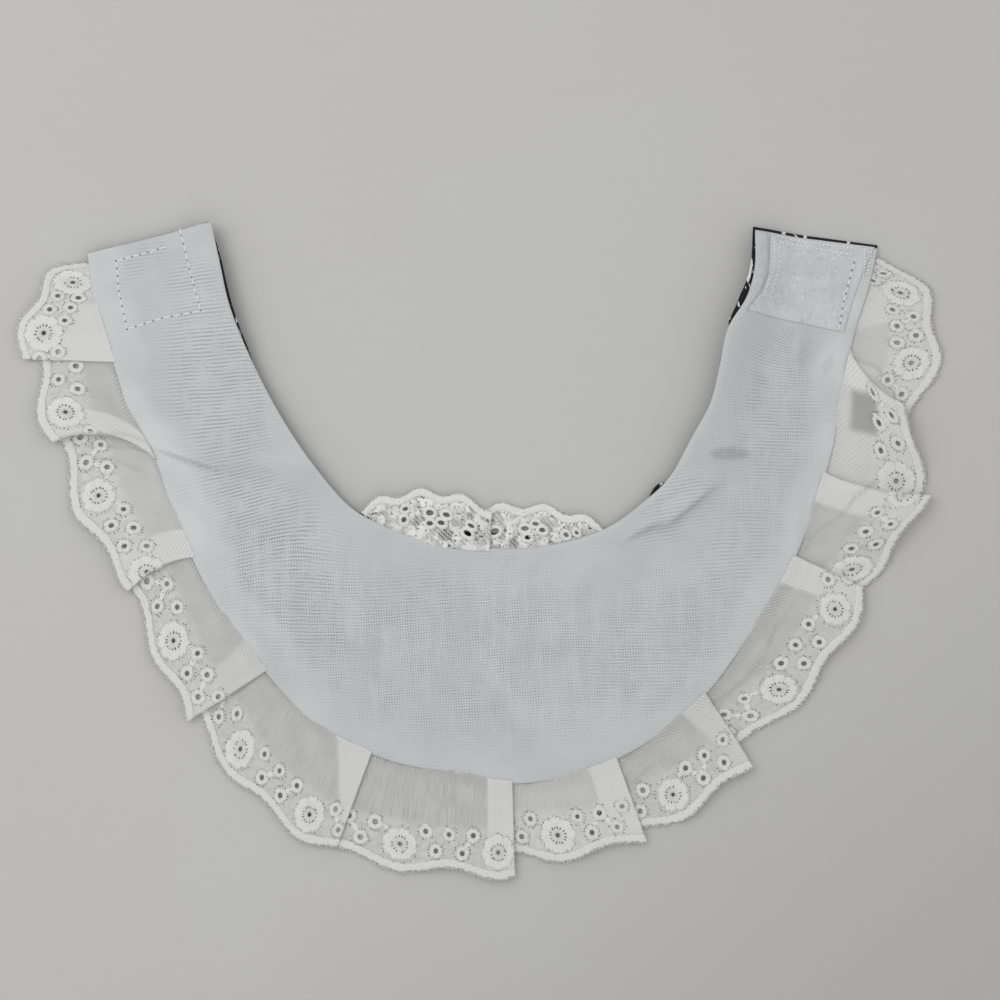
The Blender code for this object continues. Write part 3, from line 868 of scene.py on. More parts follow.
# How the weave's ribs lie: each row says how steeply they climb to the right near this spot.
Grain = namedtuple("Grain", "x y climb")
GRAINS = rows_of(Grain, [
    (-91.0, 74.0, 0.15), (-77.0, 45.0, 0.05), (-67.0, 12.0, 0.30),
    (-48.0, -22.0, 0.02), (-20.0, -14.0, 0.13), (4.0, -24.0, 0.06), (-3.0, -44.0, -0.05),
    (36.0, -20.0, -0.05), (52.0, -34.0, 0.02), (52.0, 14.0, 0.3), (72.0, 2.0, 0.08),
    (88.0, 34.0, 0.03), (79.0, 80.0, -0.8), (77.0, 88.0, -0.8),
])
GRAIN_REACH = 22.0


def oval_share(group, x, y):
    """How much the ovals of a group cover this spot, from 0 to 1."""
    most = 0.0
    for oval in group:
        turn = math.radians(oval.turn)
        along = (x - oval.x) * math.cos(turn) + (y - oval.y) * math.sin(turn)
        aside = (y - oval.y) * math.cos(turn) - (x - oval.x) * math.sin(turn)
        away = math.hypot(along / oval.length, aside / oval.width)
        most = max(most, oval.strength * (1.0 - ease((away - 0.55) / 0.6)))
    return most


def weave_spot(x, y):
    """Where the ribs of the weave run: the second number stays the same along a rib."""
    if x > 60.0 and y > 68.0 and x < along_line(LOOP_EDGE, (89.7 - y) / 21.9).x + 1.4:
        return 0.12 * (x - 0.8 * y), 0.15 * (y + 0.8 * x)  # the strip left of the loop patch, on the bias
    weights = [math.exp(-((x - grain.x) ** 2 + (y - grain.y) ** 2) / GRAIN_REACH**2) + 1e-9 for grain in GRAINS]
    total = sum(weights)
    level = sum(weight * (y - grain.climb * (x - grain.x)) for weight, grain in zip(weights, GRAINS)) / total
    return x / 10.0, level / 10.0


def panel_grid(from_place, to_place, first_across, steps, rows):
    """Places along and shares across the band, column by column."""
    columns = LAST_SECTION * steps + 1
    grid = []
    for column in range(columns):
        place = from_place + (to_place - from_place) * column / (columns - 1)
        first = first_across(place)
        for row in range(rows + 1):
            share = row / rows
            share -= EDGE_CROWDING * math.sin(TURN * share) / TURN
            grid.append((place, first + (1.0 - first) * share))
    return columns, grid


# Sharper creases in the lining itself.
LINING_CREASES = [
    Crease(1.4, 2.4, 0.6, [(-92.5, 29.6), (-85.0, 27.0), (-82.0, 25.4), (-76.0, 23.6), (-72.0, 22.6)]),
    Crease(0.5, 1.6, 1.0, [(-80.0, 29.0), (-72.0, 27.5), (-64.0, 28.0)]),
    Crease(0.9, 2.4, 0.8, RIGHT_ARM_CREASE),
    Crease(0.35, 1.2, 0.7, [(45.0, 10.8), (50.0, 14.0), (55.0, 16.5), (60.0, 21.0)]),
    Crease(0.8, 1.6, 1.0, [(81.6, 89.5), (80.6, 78.0), (78.9, 73.5), (74.6, 67.8)]),
    Crease(0.35, 1.0, 0.8, [(-60.0, 26.0), (-52.0, 24.5), (-46.0, 21.0)]),
    Crease(0.3, 1.2, 0.9, [(-101.0, 84.0), (-97.0, 81.0), (-95.0, 78.5)]),
    Crease(0.3, 1.2, 0.9, [(-92.0, 79.0), (-87.0, 76.0), (-84.0, 71.0)]),
    Crease(0.3, 1.4, 1.0, [(-84.0, 62.0), (-78.0, 63.0), (-71.0, 61.0)]),
]


HORN_LENGTH = 11.0  # from one section to the next at a horn's end


def lining_point(place, across):
    spot = band_spot(place, across)
    width = band_width(place)
    end = min(place - LINING_INSET, LAST_SECTION - LINING_INSET - place) * HORN_LENGTH
    inside = min(across * width, (1.0 - across) * width, end)
    rise = LINING_EDGE + (LINING_MIDDLE - LINING_EDGE) * (1.0 - math.exp(-max(inside, 0.0) / SEAM_ROLL * 2.0))
    wave = 0.22 * noise.noise(Vector((spot.x / 16.0, spot.y / 16.0, 2.0)))
    wave += 0.10 * noise.noise(Vector((spot.x / 5.0, spot.y / 5.0, 7.0)))
    rise += sum(crease_height(crease, spot) for crease in LINING_CREASES)
    return Vector((spot.x, spot.y, cloth_height(place, across) + rise + wave * ease(inside / 6.0)))


def build_lining():
    last = LAST_SECTION - LINING_INSET
    columns, grid = panel_grid(LINING_INSET, last, lambda place: 0.0, LINING_STEPS, LINING_ROWS)
    points = [lining_point(place, across) for place, across in grid]
    lining = mesh_piece("voile_lining", points, grid_faces(columns, LINING_ROWS + 1))
    bands = [allowance(place, across) for place, across in grid]
    ribbed, hatched = [], []
    for point, band in zip(points, bands):
        inner = 1.0 - min(band * 1.3, 1.0)
        ribbed.append((0.12 + 0.88 * oval_share(RIBBED, point.x, point.y)) * inner)
        hatched.append((0.22 + 0.78 * oval_share(HATCHED, point.x, point.y)) * (0.3 + 0.7 * inner))
    lay_uv(lining, "weave", [weave_spot(point.x, point.y) for point in points])
    lay_values(lining, "ribbed", ribbed)
    lay_values(lining, "hatched", hatched)
    # Painted shade in the creases and beside the loop patch, with the print's show-through in the middle.
    lay_values(lining, "painted_shade_and_show_through", [oval_share(PAINTED_SHADE_AND_SHOW_THROUGH, point.x, point.y) for point in points])
    lay_values(lining, "banded", bands)
    give_wall(lining, CLOTH)
    return lining


# How wide and how bright the seam allowance shows through along the outer seam: section, width, brightness.
ALLOWANCE = [
    (0.0, 8.0, 0.5), (2.0, 8.0, 0.6), (4.0, 7.5, 0.8), (6.0, 12.0, 0.8), (8.0, 11.0, 0.4), (9.5, 8.0, 0.12),
    (12.0, 6.0, 0.12), (14.0, 6.0, 0.2), (16.0, 8.0, 0.4), (18.0, 8.0, 0.6), (20.0, 9.0, 0.8), (23.0, 8.0, 0.6),
]


def allowance(place, across):
    """Where the ruffle's seam allowance shows through the lining as a brighter band."""
    width = band_width(place)
    inside = (1.0 - across) * width
    before, after = next(pair for pair in zip(ALLOWANCE, ALLOWANCE[1:]) if place <= pair[1][0])
    share = (place - before[0]) / (after[0] - before[0])
    reach, bright = (before[part] + (after[part] - before[part]) * share for part in (1, 2))
    reach += 6.0 * noise.noise(Vector((place * 0.9, inside / 12.0, 3.0))) - 1.0
    bright *= 0.8 + 0.7 * noise.noise(Vector((place * 1.6, inside / 7.0, 8.0)))
    neck = 1.0 - ease((across * width - 0.8) / 1.0)
    return max(bright * (1.0 - ease((inside - reach + 3.0) / 8.0)), 0.2 * neck)


LACE_FROM, LACE_TO = 7.2, 13.6  # where the neck lace covers the face's edge, along the band


def face_point(place, across):
    spot = band_spot(place, across)
    width = band_width(place)
    bare = max(1.0 - ease((place - LACE_FROM) / 0.8), ease((place - LACE_TO) / 0.8))
    curl = 0.55 * bare * (1.0 - ease((across * width + 1.0) / 2.0)) - 0.1 * (1.0 - bare)
    return Vector((spot.x, spot.y, cloth_height(place, across) + FACE_MIDDLE + curl))


def build_face():
    columns, grid = panel_grid(0.0, LAST_SECTION + FACE_END_REACH, face_edge, FACE_STEPS, FACE_ROWS)
    points = [face_point(place, across) for place, across in grid]
    face = mesh_piece("printed_face", points, grid_faces(columns, FACE_ROWS + 1))
    lay_uv(face, "weave", [(point.x / 10.0, point.y / 10.0) for point in points])
    give_wall(face, CLOTH)
    return face


# ---- fastening ----

# The loop patch's corners and the bend in its left edge, where the lining's fold overlaps it.
LOOP_EDGE = [(82.6, 89.7), (81.7, 78.0), (80.0, 73.5), (75.7, 67.8)]
LOOP_FAR = [(112.4, 86.0), (108.6, 78.0), (105.8, 70.0), (103.6, 61.8)]
LOOP_COLUMNS = 64
LOOP_ROWS = 56
LOOP_THICKNESS = 0.4
LOOP_SIDE = 28.0  # the patch's side, roughly
LOOP_LIFT = 0.36  # from the lining's middle to the tape's


def along_line(line, share):
    reach = share * (len(line) - 1)
    index = min(int(reach), len(line) - 2)
    return Vector(line[index]).lerp(Vector(line[index + 1]), reach - index)


def cross_lines(first, last, count=120):
    """Lines across the band between these two places: (place, neck end, run to the seam)."""
    places = [first + (last - first) * tick / (count - 1) for tick in range(count)]
    ends = [(place, band_spot(place, 0.0), band_spot(place, 1.0)) for place in places]
    return [(place, neck, seam - neck) for place, neck, seam in ends]


LEFT_HORN = cross_lines(0.02, 3.2)
RIGHT_HORN = cross_lines(19.6, 22.98)


def place_of(spot, horn):
    """The place along the band and the share across it, for a spot on this horn."""
    nearest, found = math.inf, None
    for place, neck, run in horn:
        across = (spot - neck).dot(run) / run.length_squared
        away = (spot - neck - run * across).length
        if away < nearest:
            nearest, found = away, (place, across)
    return found


def build_loop_patch():
    points = []
    for column in range(LOOP_COLUMNS + 1):
        for row in range(LOOP_ROWS + 1):
            along, down = column / LOOP_COLUMNS, row / LOOP_ROWS
            spot = along_line(LOOP_EDGE, down).lerp(along_line(LOOP_FAR, down), along)
            place, across = place_of(spot, RIGHT_HORN)
            edge = min(along, 1.0 - along, down, 1.0 - down) * LOOP_SIDE
            pile = 0.25 * noise.noise(Vector((spot.x * 1.6, spot.y * 1.6, 0.0)))
            pile += 0.2 * noise.noise(Vector((spot.x * 0.5, spot.y * 0.5, 5.0)))
            level = lining_point(place, across).z + LOOP_LIFT
            points.append((spot.x, spot.y, level + pile * ease(edge / 2.0) - 0.15 * (1.0 - ease(edge / 1.0))))
    patch = mesh_piece("loop_tape_pile", points, grid_faces(LOOP_COLUMNS + 1, LOOP_ROWS + 1))
    give_wall(patch, LOOP_THICKNESS)
    return patch


HOOK_STEPS = 40
HOOK_PITCH = 5.2  # turns the millimetres into the waves of the rows of hooks
HOOK_DEPTH = 0.12
HOOK_MIDDLE = 0.75
HOOK_THICKNESS = 0.8
HOOK_CURL = 2.6  # how far the neck edge of its horn lifts it
HOOK_CURL_REACH = 15.54  # and how far in from that edge


def build_hook_patch():
    first, second, third, fourth = HOOK_CORNERS
    points = []
    for column in range(HOOK_STEPS + 1):
        for row in range(HOOK_STEPS + 1):
            along, down = column / HOOK_STEPS, row / HOOK_STEPS
            spot = first.lerp(second, along).lerp(fourth.lerp(third, along), down)
            hooks = HOOK_DEPTH * math.sin(spot.x * HOOK_PITCH) * math.sin(spot.y * HOOK_PITCH)
            points.append((spot.x, spot.y, HOOK_MIDDLE + hooks + hook_lift(spot)))
    patch = mesh_piece("hook_tape_weave", points, grid_faces(HOOK_STEPS + 1, HOOK_STEPS + 1))
    give_wall(patch, HOOK_THICKNESS)
    return patch


def hook_lift(spot):
    """The hook patch curls up with the neck edge of its horn."""
    away = min((spot - band_spot(step / 10.0, 0.0)).length for step in range(31))
    return HOOK_CURL * (1.0 - ease(away / HOOK_CURL_REACH))


# ---- lace ----

FLOWER_IN = 7.6  # the flowers' middles, in from the hem's outermost line
EYELETS = [(6.8, 12.4), (9.95, 7.25), (13.5, 12.3), (17.45, 7.2), (20.6, 12.4)]  # along from a flower, and in
EYELET_HOLE = 0.7
EYELET_RIM = 2.05
FLOWER_HOLE = 0.58
FLOWER_RIM = 5.05
FLOWER_GROOVE = 2.25
FLOWER_CLEAR = 4.0  # a flower is left out that lies nearer than this to the first end, or further past another
STANDARD_REPEAT = 28.0


def satin_ring(name, inner, outer, segments, rounds, height, jag, groove=None, petals=0):
    """A ring of satin stitch round a hole, modelled flat at the origin in millimetres, one stitch
    to two segments. A groove, where it has one, runs round it at this distance from the middle."""
    major, minor = (inner + outer) / 2.0, (outer - inner) / 2.0
    bpy.ops.object.select_all(action="DESELECT")
    bpy.ops.mesh.primitive_torus_add(
        major_radius=major, minor_radius=minor, major_segments=segments, minor_segments=rounds
    )
    ring = new_template(name)
    with all_in_hand():
        bpy.ops.transform.resize(value=(1.0, 1.0, height / minor))
    dice = random.Random(segments)
    lengths = [dice.uniform(-jag, jag) + (jag if tick % 2 else -jag) * 0.5 for tick in range(segments)]
    spots = []
    for vertex in ring.data.vertices:
        radius = math.hypot(vertex.co.x, vertex.co.y)
        angle = math.atan2(vertex.co.y, vertex.co.x)
        tick = round(angle / TURN * segments) % segments
        out = (radius - major) / minor
        petal = 0.55 * abs(math.sin(petals * angle / 2.0)) - 0.4 if petals else 0.0
        shift = (lengths[tick] + petal) * max(out, 0.0) ** 2
        vertex.co.x += math.cos(angle) * shift
        vertex.co.y += math.sin(angle) * shift
        vertex.co.z *= 1.0 if tick % 2 else 0.82
        if groove and abs(radius - groove) < 0.3:
            vertex.co.z *= 0.45
        spots.append((tick / segments * TURN * major / 10.0, (radius - inner) / 10.0))
    lay_uv(ring, "stitch", spots)
    ring.data.shade_smooth()
    return ring


def sewn_copy(template, spread, turn=0.0, size=1.0):
    """A copy of a motif, turned and sized, with each of its points laid on the cloth by spread()."""
    piece = template.copy()
    piece.data = template.data.copy()
    bpy.context.scene.collection.objects.link(piece)
    cosine, sine = math.cos(turn) * size, math.sin(turn) * size
    for vertex in piece.data.vertices:
        x, y, z = vertex.co
        vertex.co = on_table(spread(x * cosine - y * sine, x * sine + y * cosine, z))
    return piece


def laid_on(strip, index, along, inward, turn, long, wide, above=0.0, flat=1.0):
    """For sewn_copy: a motif turned in the cloth's plane, this long and wide, this far above it."""
    cosine, sine = math.cos(turn), math.sin(turn)

    def spread(x, y, z):
        out, side = x * long, y * wide
        return strip.point(index, along + out * cosine - side * sine, inward + out * sine + side * cosine,
                           z * flat + above)

    return spread


# Where the ruffle lies double outside its laps, and where painted shade darkens it in a gap under a raised fold:
# corners of each.
WHITE_PATCHES = [
    [(111.6, 75.3), (128.3, 70.1), (120.2, 65.6), (106.2, 62.4)],
    [(103.5, 55.9), (113.2, 51.6), (112.7, 43.8), (105.6, 45.7), (103.0, 48.4)],
    [(113.2, 51.0), (119.1, 41.3), (115.9, 37.6), (112.9, 38.1)],
    [(98.9, 20.0), (116.7, 19.3), (117.4, 17.0), (107.5, 16.4), (98.3, 16.4)],
]
PAINTED_SHADE_PATCHES = [[(105.9, 45.6), (112.5, 44.0), (112.9, 32.4), (105.3, 34.1)]]
PATCH_EDGE = 0.8  # over how far a patch fades out at its edge
GAP_EDGE = 2.2

# Painted shade along creases in the ruffle: strength, half width and line.
CreaseShadeLine = namedtuple("CreaseShadeLine", "strength width line")
CREASE_SHADE_LINES = [
    CreaseShadeLine(0.6, 0.45, [(65.4, -44.5), (75.7, -37.1), (81.4, -30.0), (84.2, -21.4)]),
    CreaseShadeLine(0.5, 0.5, [(112.5, 19.3), (106.5, 15.0), (102.8, 9.9), (95.6, 5.1), (92.0, -0.7)]),
    CreaseShadeLine(0.5, 0.5, [(-117.2, 17.6), (-108.7, 19.9)]),
    CreaseShadeLine(0.4, 0.5, [(-119.5, 27.8), (-112.0, 26.4), (-104.0, 26.0), (-97.0, 22.5)]),
    CreaseShadeLine(0.5, 0.4, [(53.0, -59.0), (47.5, -62.5), (44.0, -66.0)]),
    CreaseShadeLine(0.6, 0.35, [(-112.0, 29.6), (-105.1, 29.5), (-98.5, 28.9), (-92.5, 27.1)]),
    CreaseShadeLine(0.4, 0.4, [(-105.1, 33.4), (-99.0, 32.6), (-93.7, 30.4)]),
    CreaseShadeLine(0.5, 0.4, [(105.4, 55.3), (113.6, 51.7), (119.8, 41.6)]),
]


def crease_shade(point):
    """How dark the painted shade along a crease makes this point of the ruffle."""
    spot = Vector((point[0], point[1]))
    return max(
        strength * math.exp(-((away.length / width) ** 2))
        for strength, width, line in CREASE_SHADE_LINES
        for _, away in beside(line, spot)
    )


def covered(patches, point, softness=PATCH_EDGE):
    """1 inside one of the patches, whose corners run clockwise, fading to 0 across its edge."""
    spot = Vector((point[0], point[1]))
    return max(ease(min(beyond_edges(corners, spot)) / softness + 0.5) for corners in patches)


LACE_UNIT = 10.0  # millimetres to one unit of the lace's UV map
HEM_CATCH = 0.6  # how far in from the hem the cloth is caught by its border
RIM_CATCH = 0.42  # how near a hole's rim a point of the cloth is moved onto it

# A hole in a strip's cloth: its stretch, its middle along the hem and in from it, and its radii.
Hole = namedtuple("Hole", "stretch along inward radius_along radius_in")


def strip_sheet(name, strip, step, flap_steps, rows, holes):
    """The strip's cloth, as one sheet with a hole at each Hole."""
    stations = strip.stations(step, flap_steps)
    points, spots, shade, white, flat = [], [], [], [], []
    run = 0.0
    for station in stations:
        index, along, phase = station
        run += step
        hem, width = strip.hem_at(station)
        for row in range(rows + 1):
            share = row / rows
            crowded = 0.65 * share + 0.35 * share * share  # rows lie closest at the hem
            inward = hem + HEM_CATCH + (width + ROOT_TUCK - hem - HEM_CATCH) * crowded
            shifted = along
            if along is not None:
                for hole in holes:
                    if hole.stretch != index:
                        continue
                    x, y = (along - hole.along) / hole.radius_along, (inward - hole.inward) / hole.radius_in
                    away = math.hypot(x, y)
                    if 0.05 < away and abs(away - 1.0) * min(hole.radius_along, hole.radius_in) < RIM_CATCH:
                        shifted = hole.along + x / away * hole.radius_along
                        inward = hole.inward + y / away * hole.radius_in
                        break
            flat.append((index, shifted, inward))
            points.append(strip.at((index, shifted, phase), inward))
            spots.append(((run if shifted is None else shifted) / LACE_UNIT, inward / LACE_UNIT))
            shade.append(1.0 - ease((width - inward) / strip.SEAM_BAND[index]))
            white.append(strip.whiteness((index, shifted, phase), inward))
    faces = []
    for face in grid_faces(len(stations), rows + 1):
        corners = [flat[corner] for corner in face]
        if all(corner[1] is not None for corner in corners) and len({corner[0] for corner in corners}) == 1:
            index = corners[0][0]
            along = sum(corner[1] for corner in corners) / 4.0
            inward = sum(corner[2] for corner in corners) / 4.0
            if any(
                index == hole.stretch
                and math.hypot((along - hole.along) / hole.radius_along,
                               (inward - hole.inward) / hole.radius_in) < 0.97
                for hole in holes
            ):
                continue
        faces.append(face)
    sheet = mesh_piece(name, points, faces)
    lay_uv(sheet, "lace", spots)
    lay_values(sheet, "seam_shade", shade)
    # How strongly the drawn threads and the painted shade and highlights of fine wrinkles show.
    lay_values(sheet, "drawn_and_wrinkle_shading", [strip.DRAWN_AND_WRINKLE_SHADING.get(index, strip.USUAL_DRAWN_AND_WRINKLE_SHADING) for index, _, _ in flat])
    white = [max(value, covered(WHITE_PATCHES, point)) for value, point in zip(white, points)]
    lay_values(sheet, "whiteness", white)
    # Painted shade, in the gap under a raised fold and along the creases.
    gaps = [max(covered(PAINTED_SHADE_PATCHES, point, GAP_EDGE), crease_shade(point)) for point in points]
    lay_values(sheet, "gap_shade", gaps)
    only(sheet)
    with all_in_hand():
        bpy.ops.mesh.delete_loose()
    return sheet


def face_outwards(piece):
    """Turn every face of a closed piece outwards."""
    only(piece)
    with all_in_hand():
        bpy.ops.mesh.normals_make_consistent(inside=False)


# Round the border: how far in, as a share of its width, and how high, as a share of its height.
HEM_SECTION = [
    (1.0, -0.1), (0.8, 0.5), (0.45, 1.0), (0.14, 0.6), (0.0, 0.0), (0.2, -0.4), (0.5, -0.5), (0.8, -0.4),
]
HEM_FLAP_STEPS = 18


def satin_hem(name, strip, step, width, height, jag):
    """The satin-stitched border along the hem, as one closed band."""
    stations = strip.stations(step, HEM_FLAP_STEPS)
    dice = random.Random(5)
    points, spots = [], []
    for number, station in enumerate(stations):
        hem, _ = strip.hem_at(station)
        ridge = dice.uniform(0.85, 1.1) if number % 2 else dice.uniform(0.55, 0.75)
        tip, root = dice.uniform(-jag, jag * 0.6), dice.uniform(-jag, jag)
        for inward, level in HEM_SECTION:
            edge = hem + inward * width + tip * max(0.0, 1.0 - inward * 2.0) + root * max(0.0, inward - 0.5)
            points.append(strip.at(station, edge, level * height * ridge))
            spots.append((number * step / 10.0, inward * width / 10.0))
    around = len(HEM_SECTION)
    faces = []
    for number in range(len(stations) - 1):
        for side in range(around):
            following = (side + 1) % around
            faces.append(
                (number * around + side, number * around + following,
                 (number + 1) * around + following, (number + 1) * around + side)
            )
    faces.append(tuple(reversed(range(around))))
    last = (len(stations) - 1) * around
    faces.append(tuple(range(last, last + around)))
    hem_band = mesh_piece(name, points, faces)
    lay_uv(hem_band, "stitch", spots)
    face_outwards(hem_band)
    return hem_band


class Ruffle(PleatedStrip):
    """The voile strip, with its own fine wrinkles and the tucks beside the seam."""

    SEAM_BAND = [1.2, 1.6, 1.4, 2.4, 2.0, 3.4, 3.6, 3.6, 4.0, 2.0, 1.6, 1.2]
    TUCKED = {7: 3.6, 8: 4.2}  # stretch: how far from the seam its tuck runs
    LOOSE = {1: 0.5, 9: 0.6, 10: 0.7}  # stretch: how crumpled it lies
    PALE = [0.55, 0.1, 0.3, 0.08, 0.0, 0.0, 0.35, 0.0, 0.0, 0.15, 0.85, 0.5]  # how white each stretch looks
    LAP_SHOWN = {0: (2.0, 0.0), 3: (1.2, 0.3), 4: (1.35, 1.1)}  # stretch: share of its lap shown, and its taper
    # Drawn threads and the painted shade and highlights of fine wrinkles, stretch by stretch.
    DRAWN_AND_WRINKLE_SHADING = {0: 0.1, 4: 0.5, 5: 1.0, 6: 0.5, 10: 0.2, 11: 0.15}
    LAP_WHITE = {3: 0.65, 7: 0.7}  # stretch: how white its lap is, where it isn't quite white

    def relief(self, index, along, inward):
        share = clamped(along / self.hems[index])
        from_seam = self.width(index, share) - inward
        free = ease((inward - 11.0) / 6.0)
        height = 0.25 * noise.noise(Vector((along / 2.6, inward / 22.0, index * 3.0))) * free
        if index == 5:
            height += 0.35 * noise.noise(Vector((along / 1.9, inward / 26.0, 11.0))) * free
        if index in self.TUCKED:
            height += 0.45 * math.exp(-(((from_seam - self.TUCKED[index]) / 0.6) ** 2))
        if index in self.LOOSE:
            fold = self.LOOSE[index] * ease((share - 0.35) / 0.4)
            height += fold * noise.noise(Vector((along / 4.0, inward / 9.0, index * 5.0)))
        return height

    def whiteness(self, station, inward):
        """How white the cloth looks: most where it lies double."""
        index, along, _ = station
        speck = noise.noise(Vector(((along or 0.0) / 1.3, inward / 1.3, index * 2.0)))
        pale = self.PALE[index] + (0.5 + 0.6 * speck) * (1.0 - ease((inward - 13.0) / 3.0))
        if along is None or index == len(self.stretches) - 1:
            return pale
        share = along / self.hems[index]
        down = 1.0 - inward / self.width(index, clamped(share))
        lap = self.lap(index, down)
        shown, taper = self.LAP_SHOWN.get(index, (1.0, 0.0))
        lap *= shown * (1.0 - taper * down)
        into = along - self.hems[index] + lap * self.hems[index] / max(self.cross_length(index, down), 1.0)
        return max(pale, self.LAP_WHITE.get(index, 1.0) * ease(into / 0.9 + 0.5))

    def cross_length(self, index, down):
        """From the stretch's back line to its fold, at this share of the way to the hem."""
        return (self.fold_spot(index, down) - self.back_spot(index, down)).length


def thread_bar(name):
    """A bar of thread 1 mm long and 1 mm wide, tapering to both ends, along x."""
    bpy.ops.object.select_all(action="DESELECT")
    bpy.ops.mesh.primitive_uv_sphere_add(segments=10, ring_count=8, radius=0.5)
    bar = new_template(name)
    with all_in_hand():
        bpy.ops.transform.rotate(value=math.pi / 2.0, orient_axis="Y", center_override=(0.0, 0.0, 0.0))
    lay_uv(bar, "stitch", [(vertex.co.x / 4.0, vertex.co.y / 10.0) for vertex in bar.data.vertices])
    bar.data.shade_smooth()
    return bar


def prick(name):
    """A needle hole, as a low dark disc 1 mm across, coloured with painted shade for the dark inside of the
    hole.
    """
    bpy.ops.object.select_all(action="DESELECT")
    bpy.ops.mesh.primitive_cone_add(vertices=6, radius1=0.5, radius2=0.3, depth=0.04)
    return new_template(name)


HAIR_REACH = 1.1  # how far loose fibres stand out past the hem line
HAIR_FACES = [(0, 1, 3), (1, 2, 3), (2, 0, 3), (0, 2, 1)]


def hairs(name, strip, count, seed):
    """Loose fibres standing out of the hem."""
    dice = random.Random(seed)
    points, faces, spots = [], [], []
    for _ in range(count):
        index = dice.randrange(len(strip.hems))
        along = dice.uniform(0.5, strip.hems[index] - 0.5)
        out, aside = dice.uniform(0.4, 1.5), dice.uniform(-0.6, 0.6)
        hem = strip.scallop(index, along) + 0.15
        first = len(points)
        for turn in (-0.12, 0.12):
            points.append(strip.point(index, along + turn, hem, 0.05))
        points.append(strip.point(index, along, hem, 0.2))
        points.append(strip.point(index, along + aside, max(hem - out, -HAIR_REACH), 0.3))
        spots += [(dice.random(), dice.random())] * 4
        faces += [tuple(first + corner for corner in face) for face in HAIR_FACES]
    tuft = mesh_piece(name, points, faces)
    lay_uv(tuft, "stitch", spots)
    face_outwards(tuft)
    return tuft


# A loose end of thread that lies on the ruffle.
LOOSE_THREAD = [(78.0, -32.0), (79.2, -33.0), (81.0, -33.4), (82.6, -33.0), (83.4, -32.2)]
LOOSE_THREAD_WIDTH = 0.28
LOOSE_THREAD_HEIGHT = 2.1

# The bars of thread between the motifs of the lace: how far they stay clear of each, and how thick they are.
BAR_CLEAR = 0.8
BAR_WIDTH = 1.5
BAR_HEIGHT = 0.16


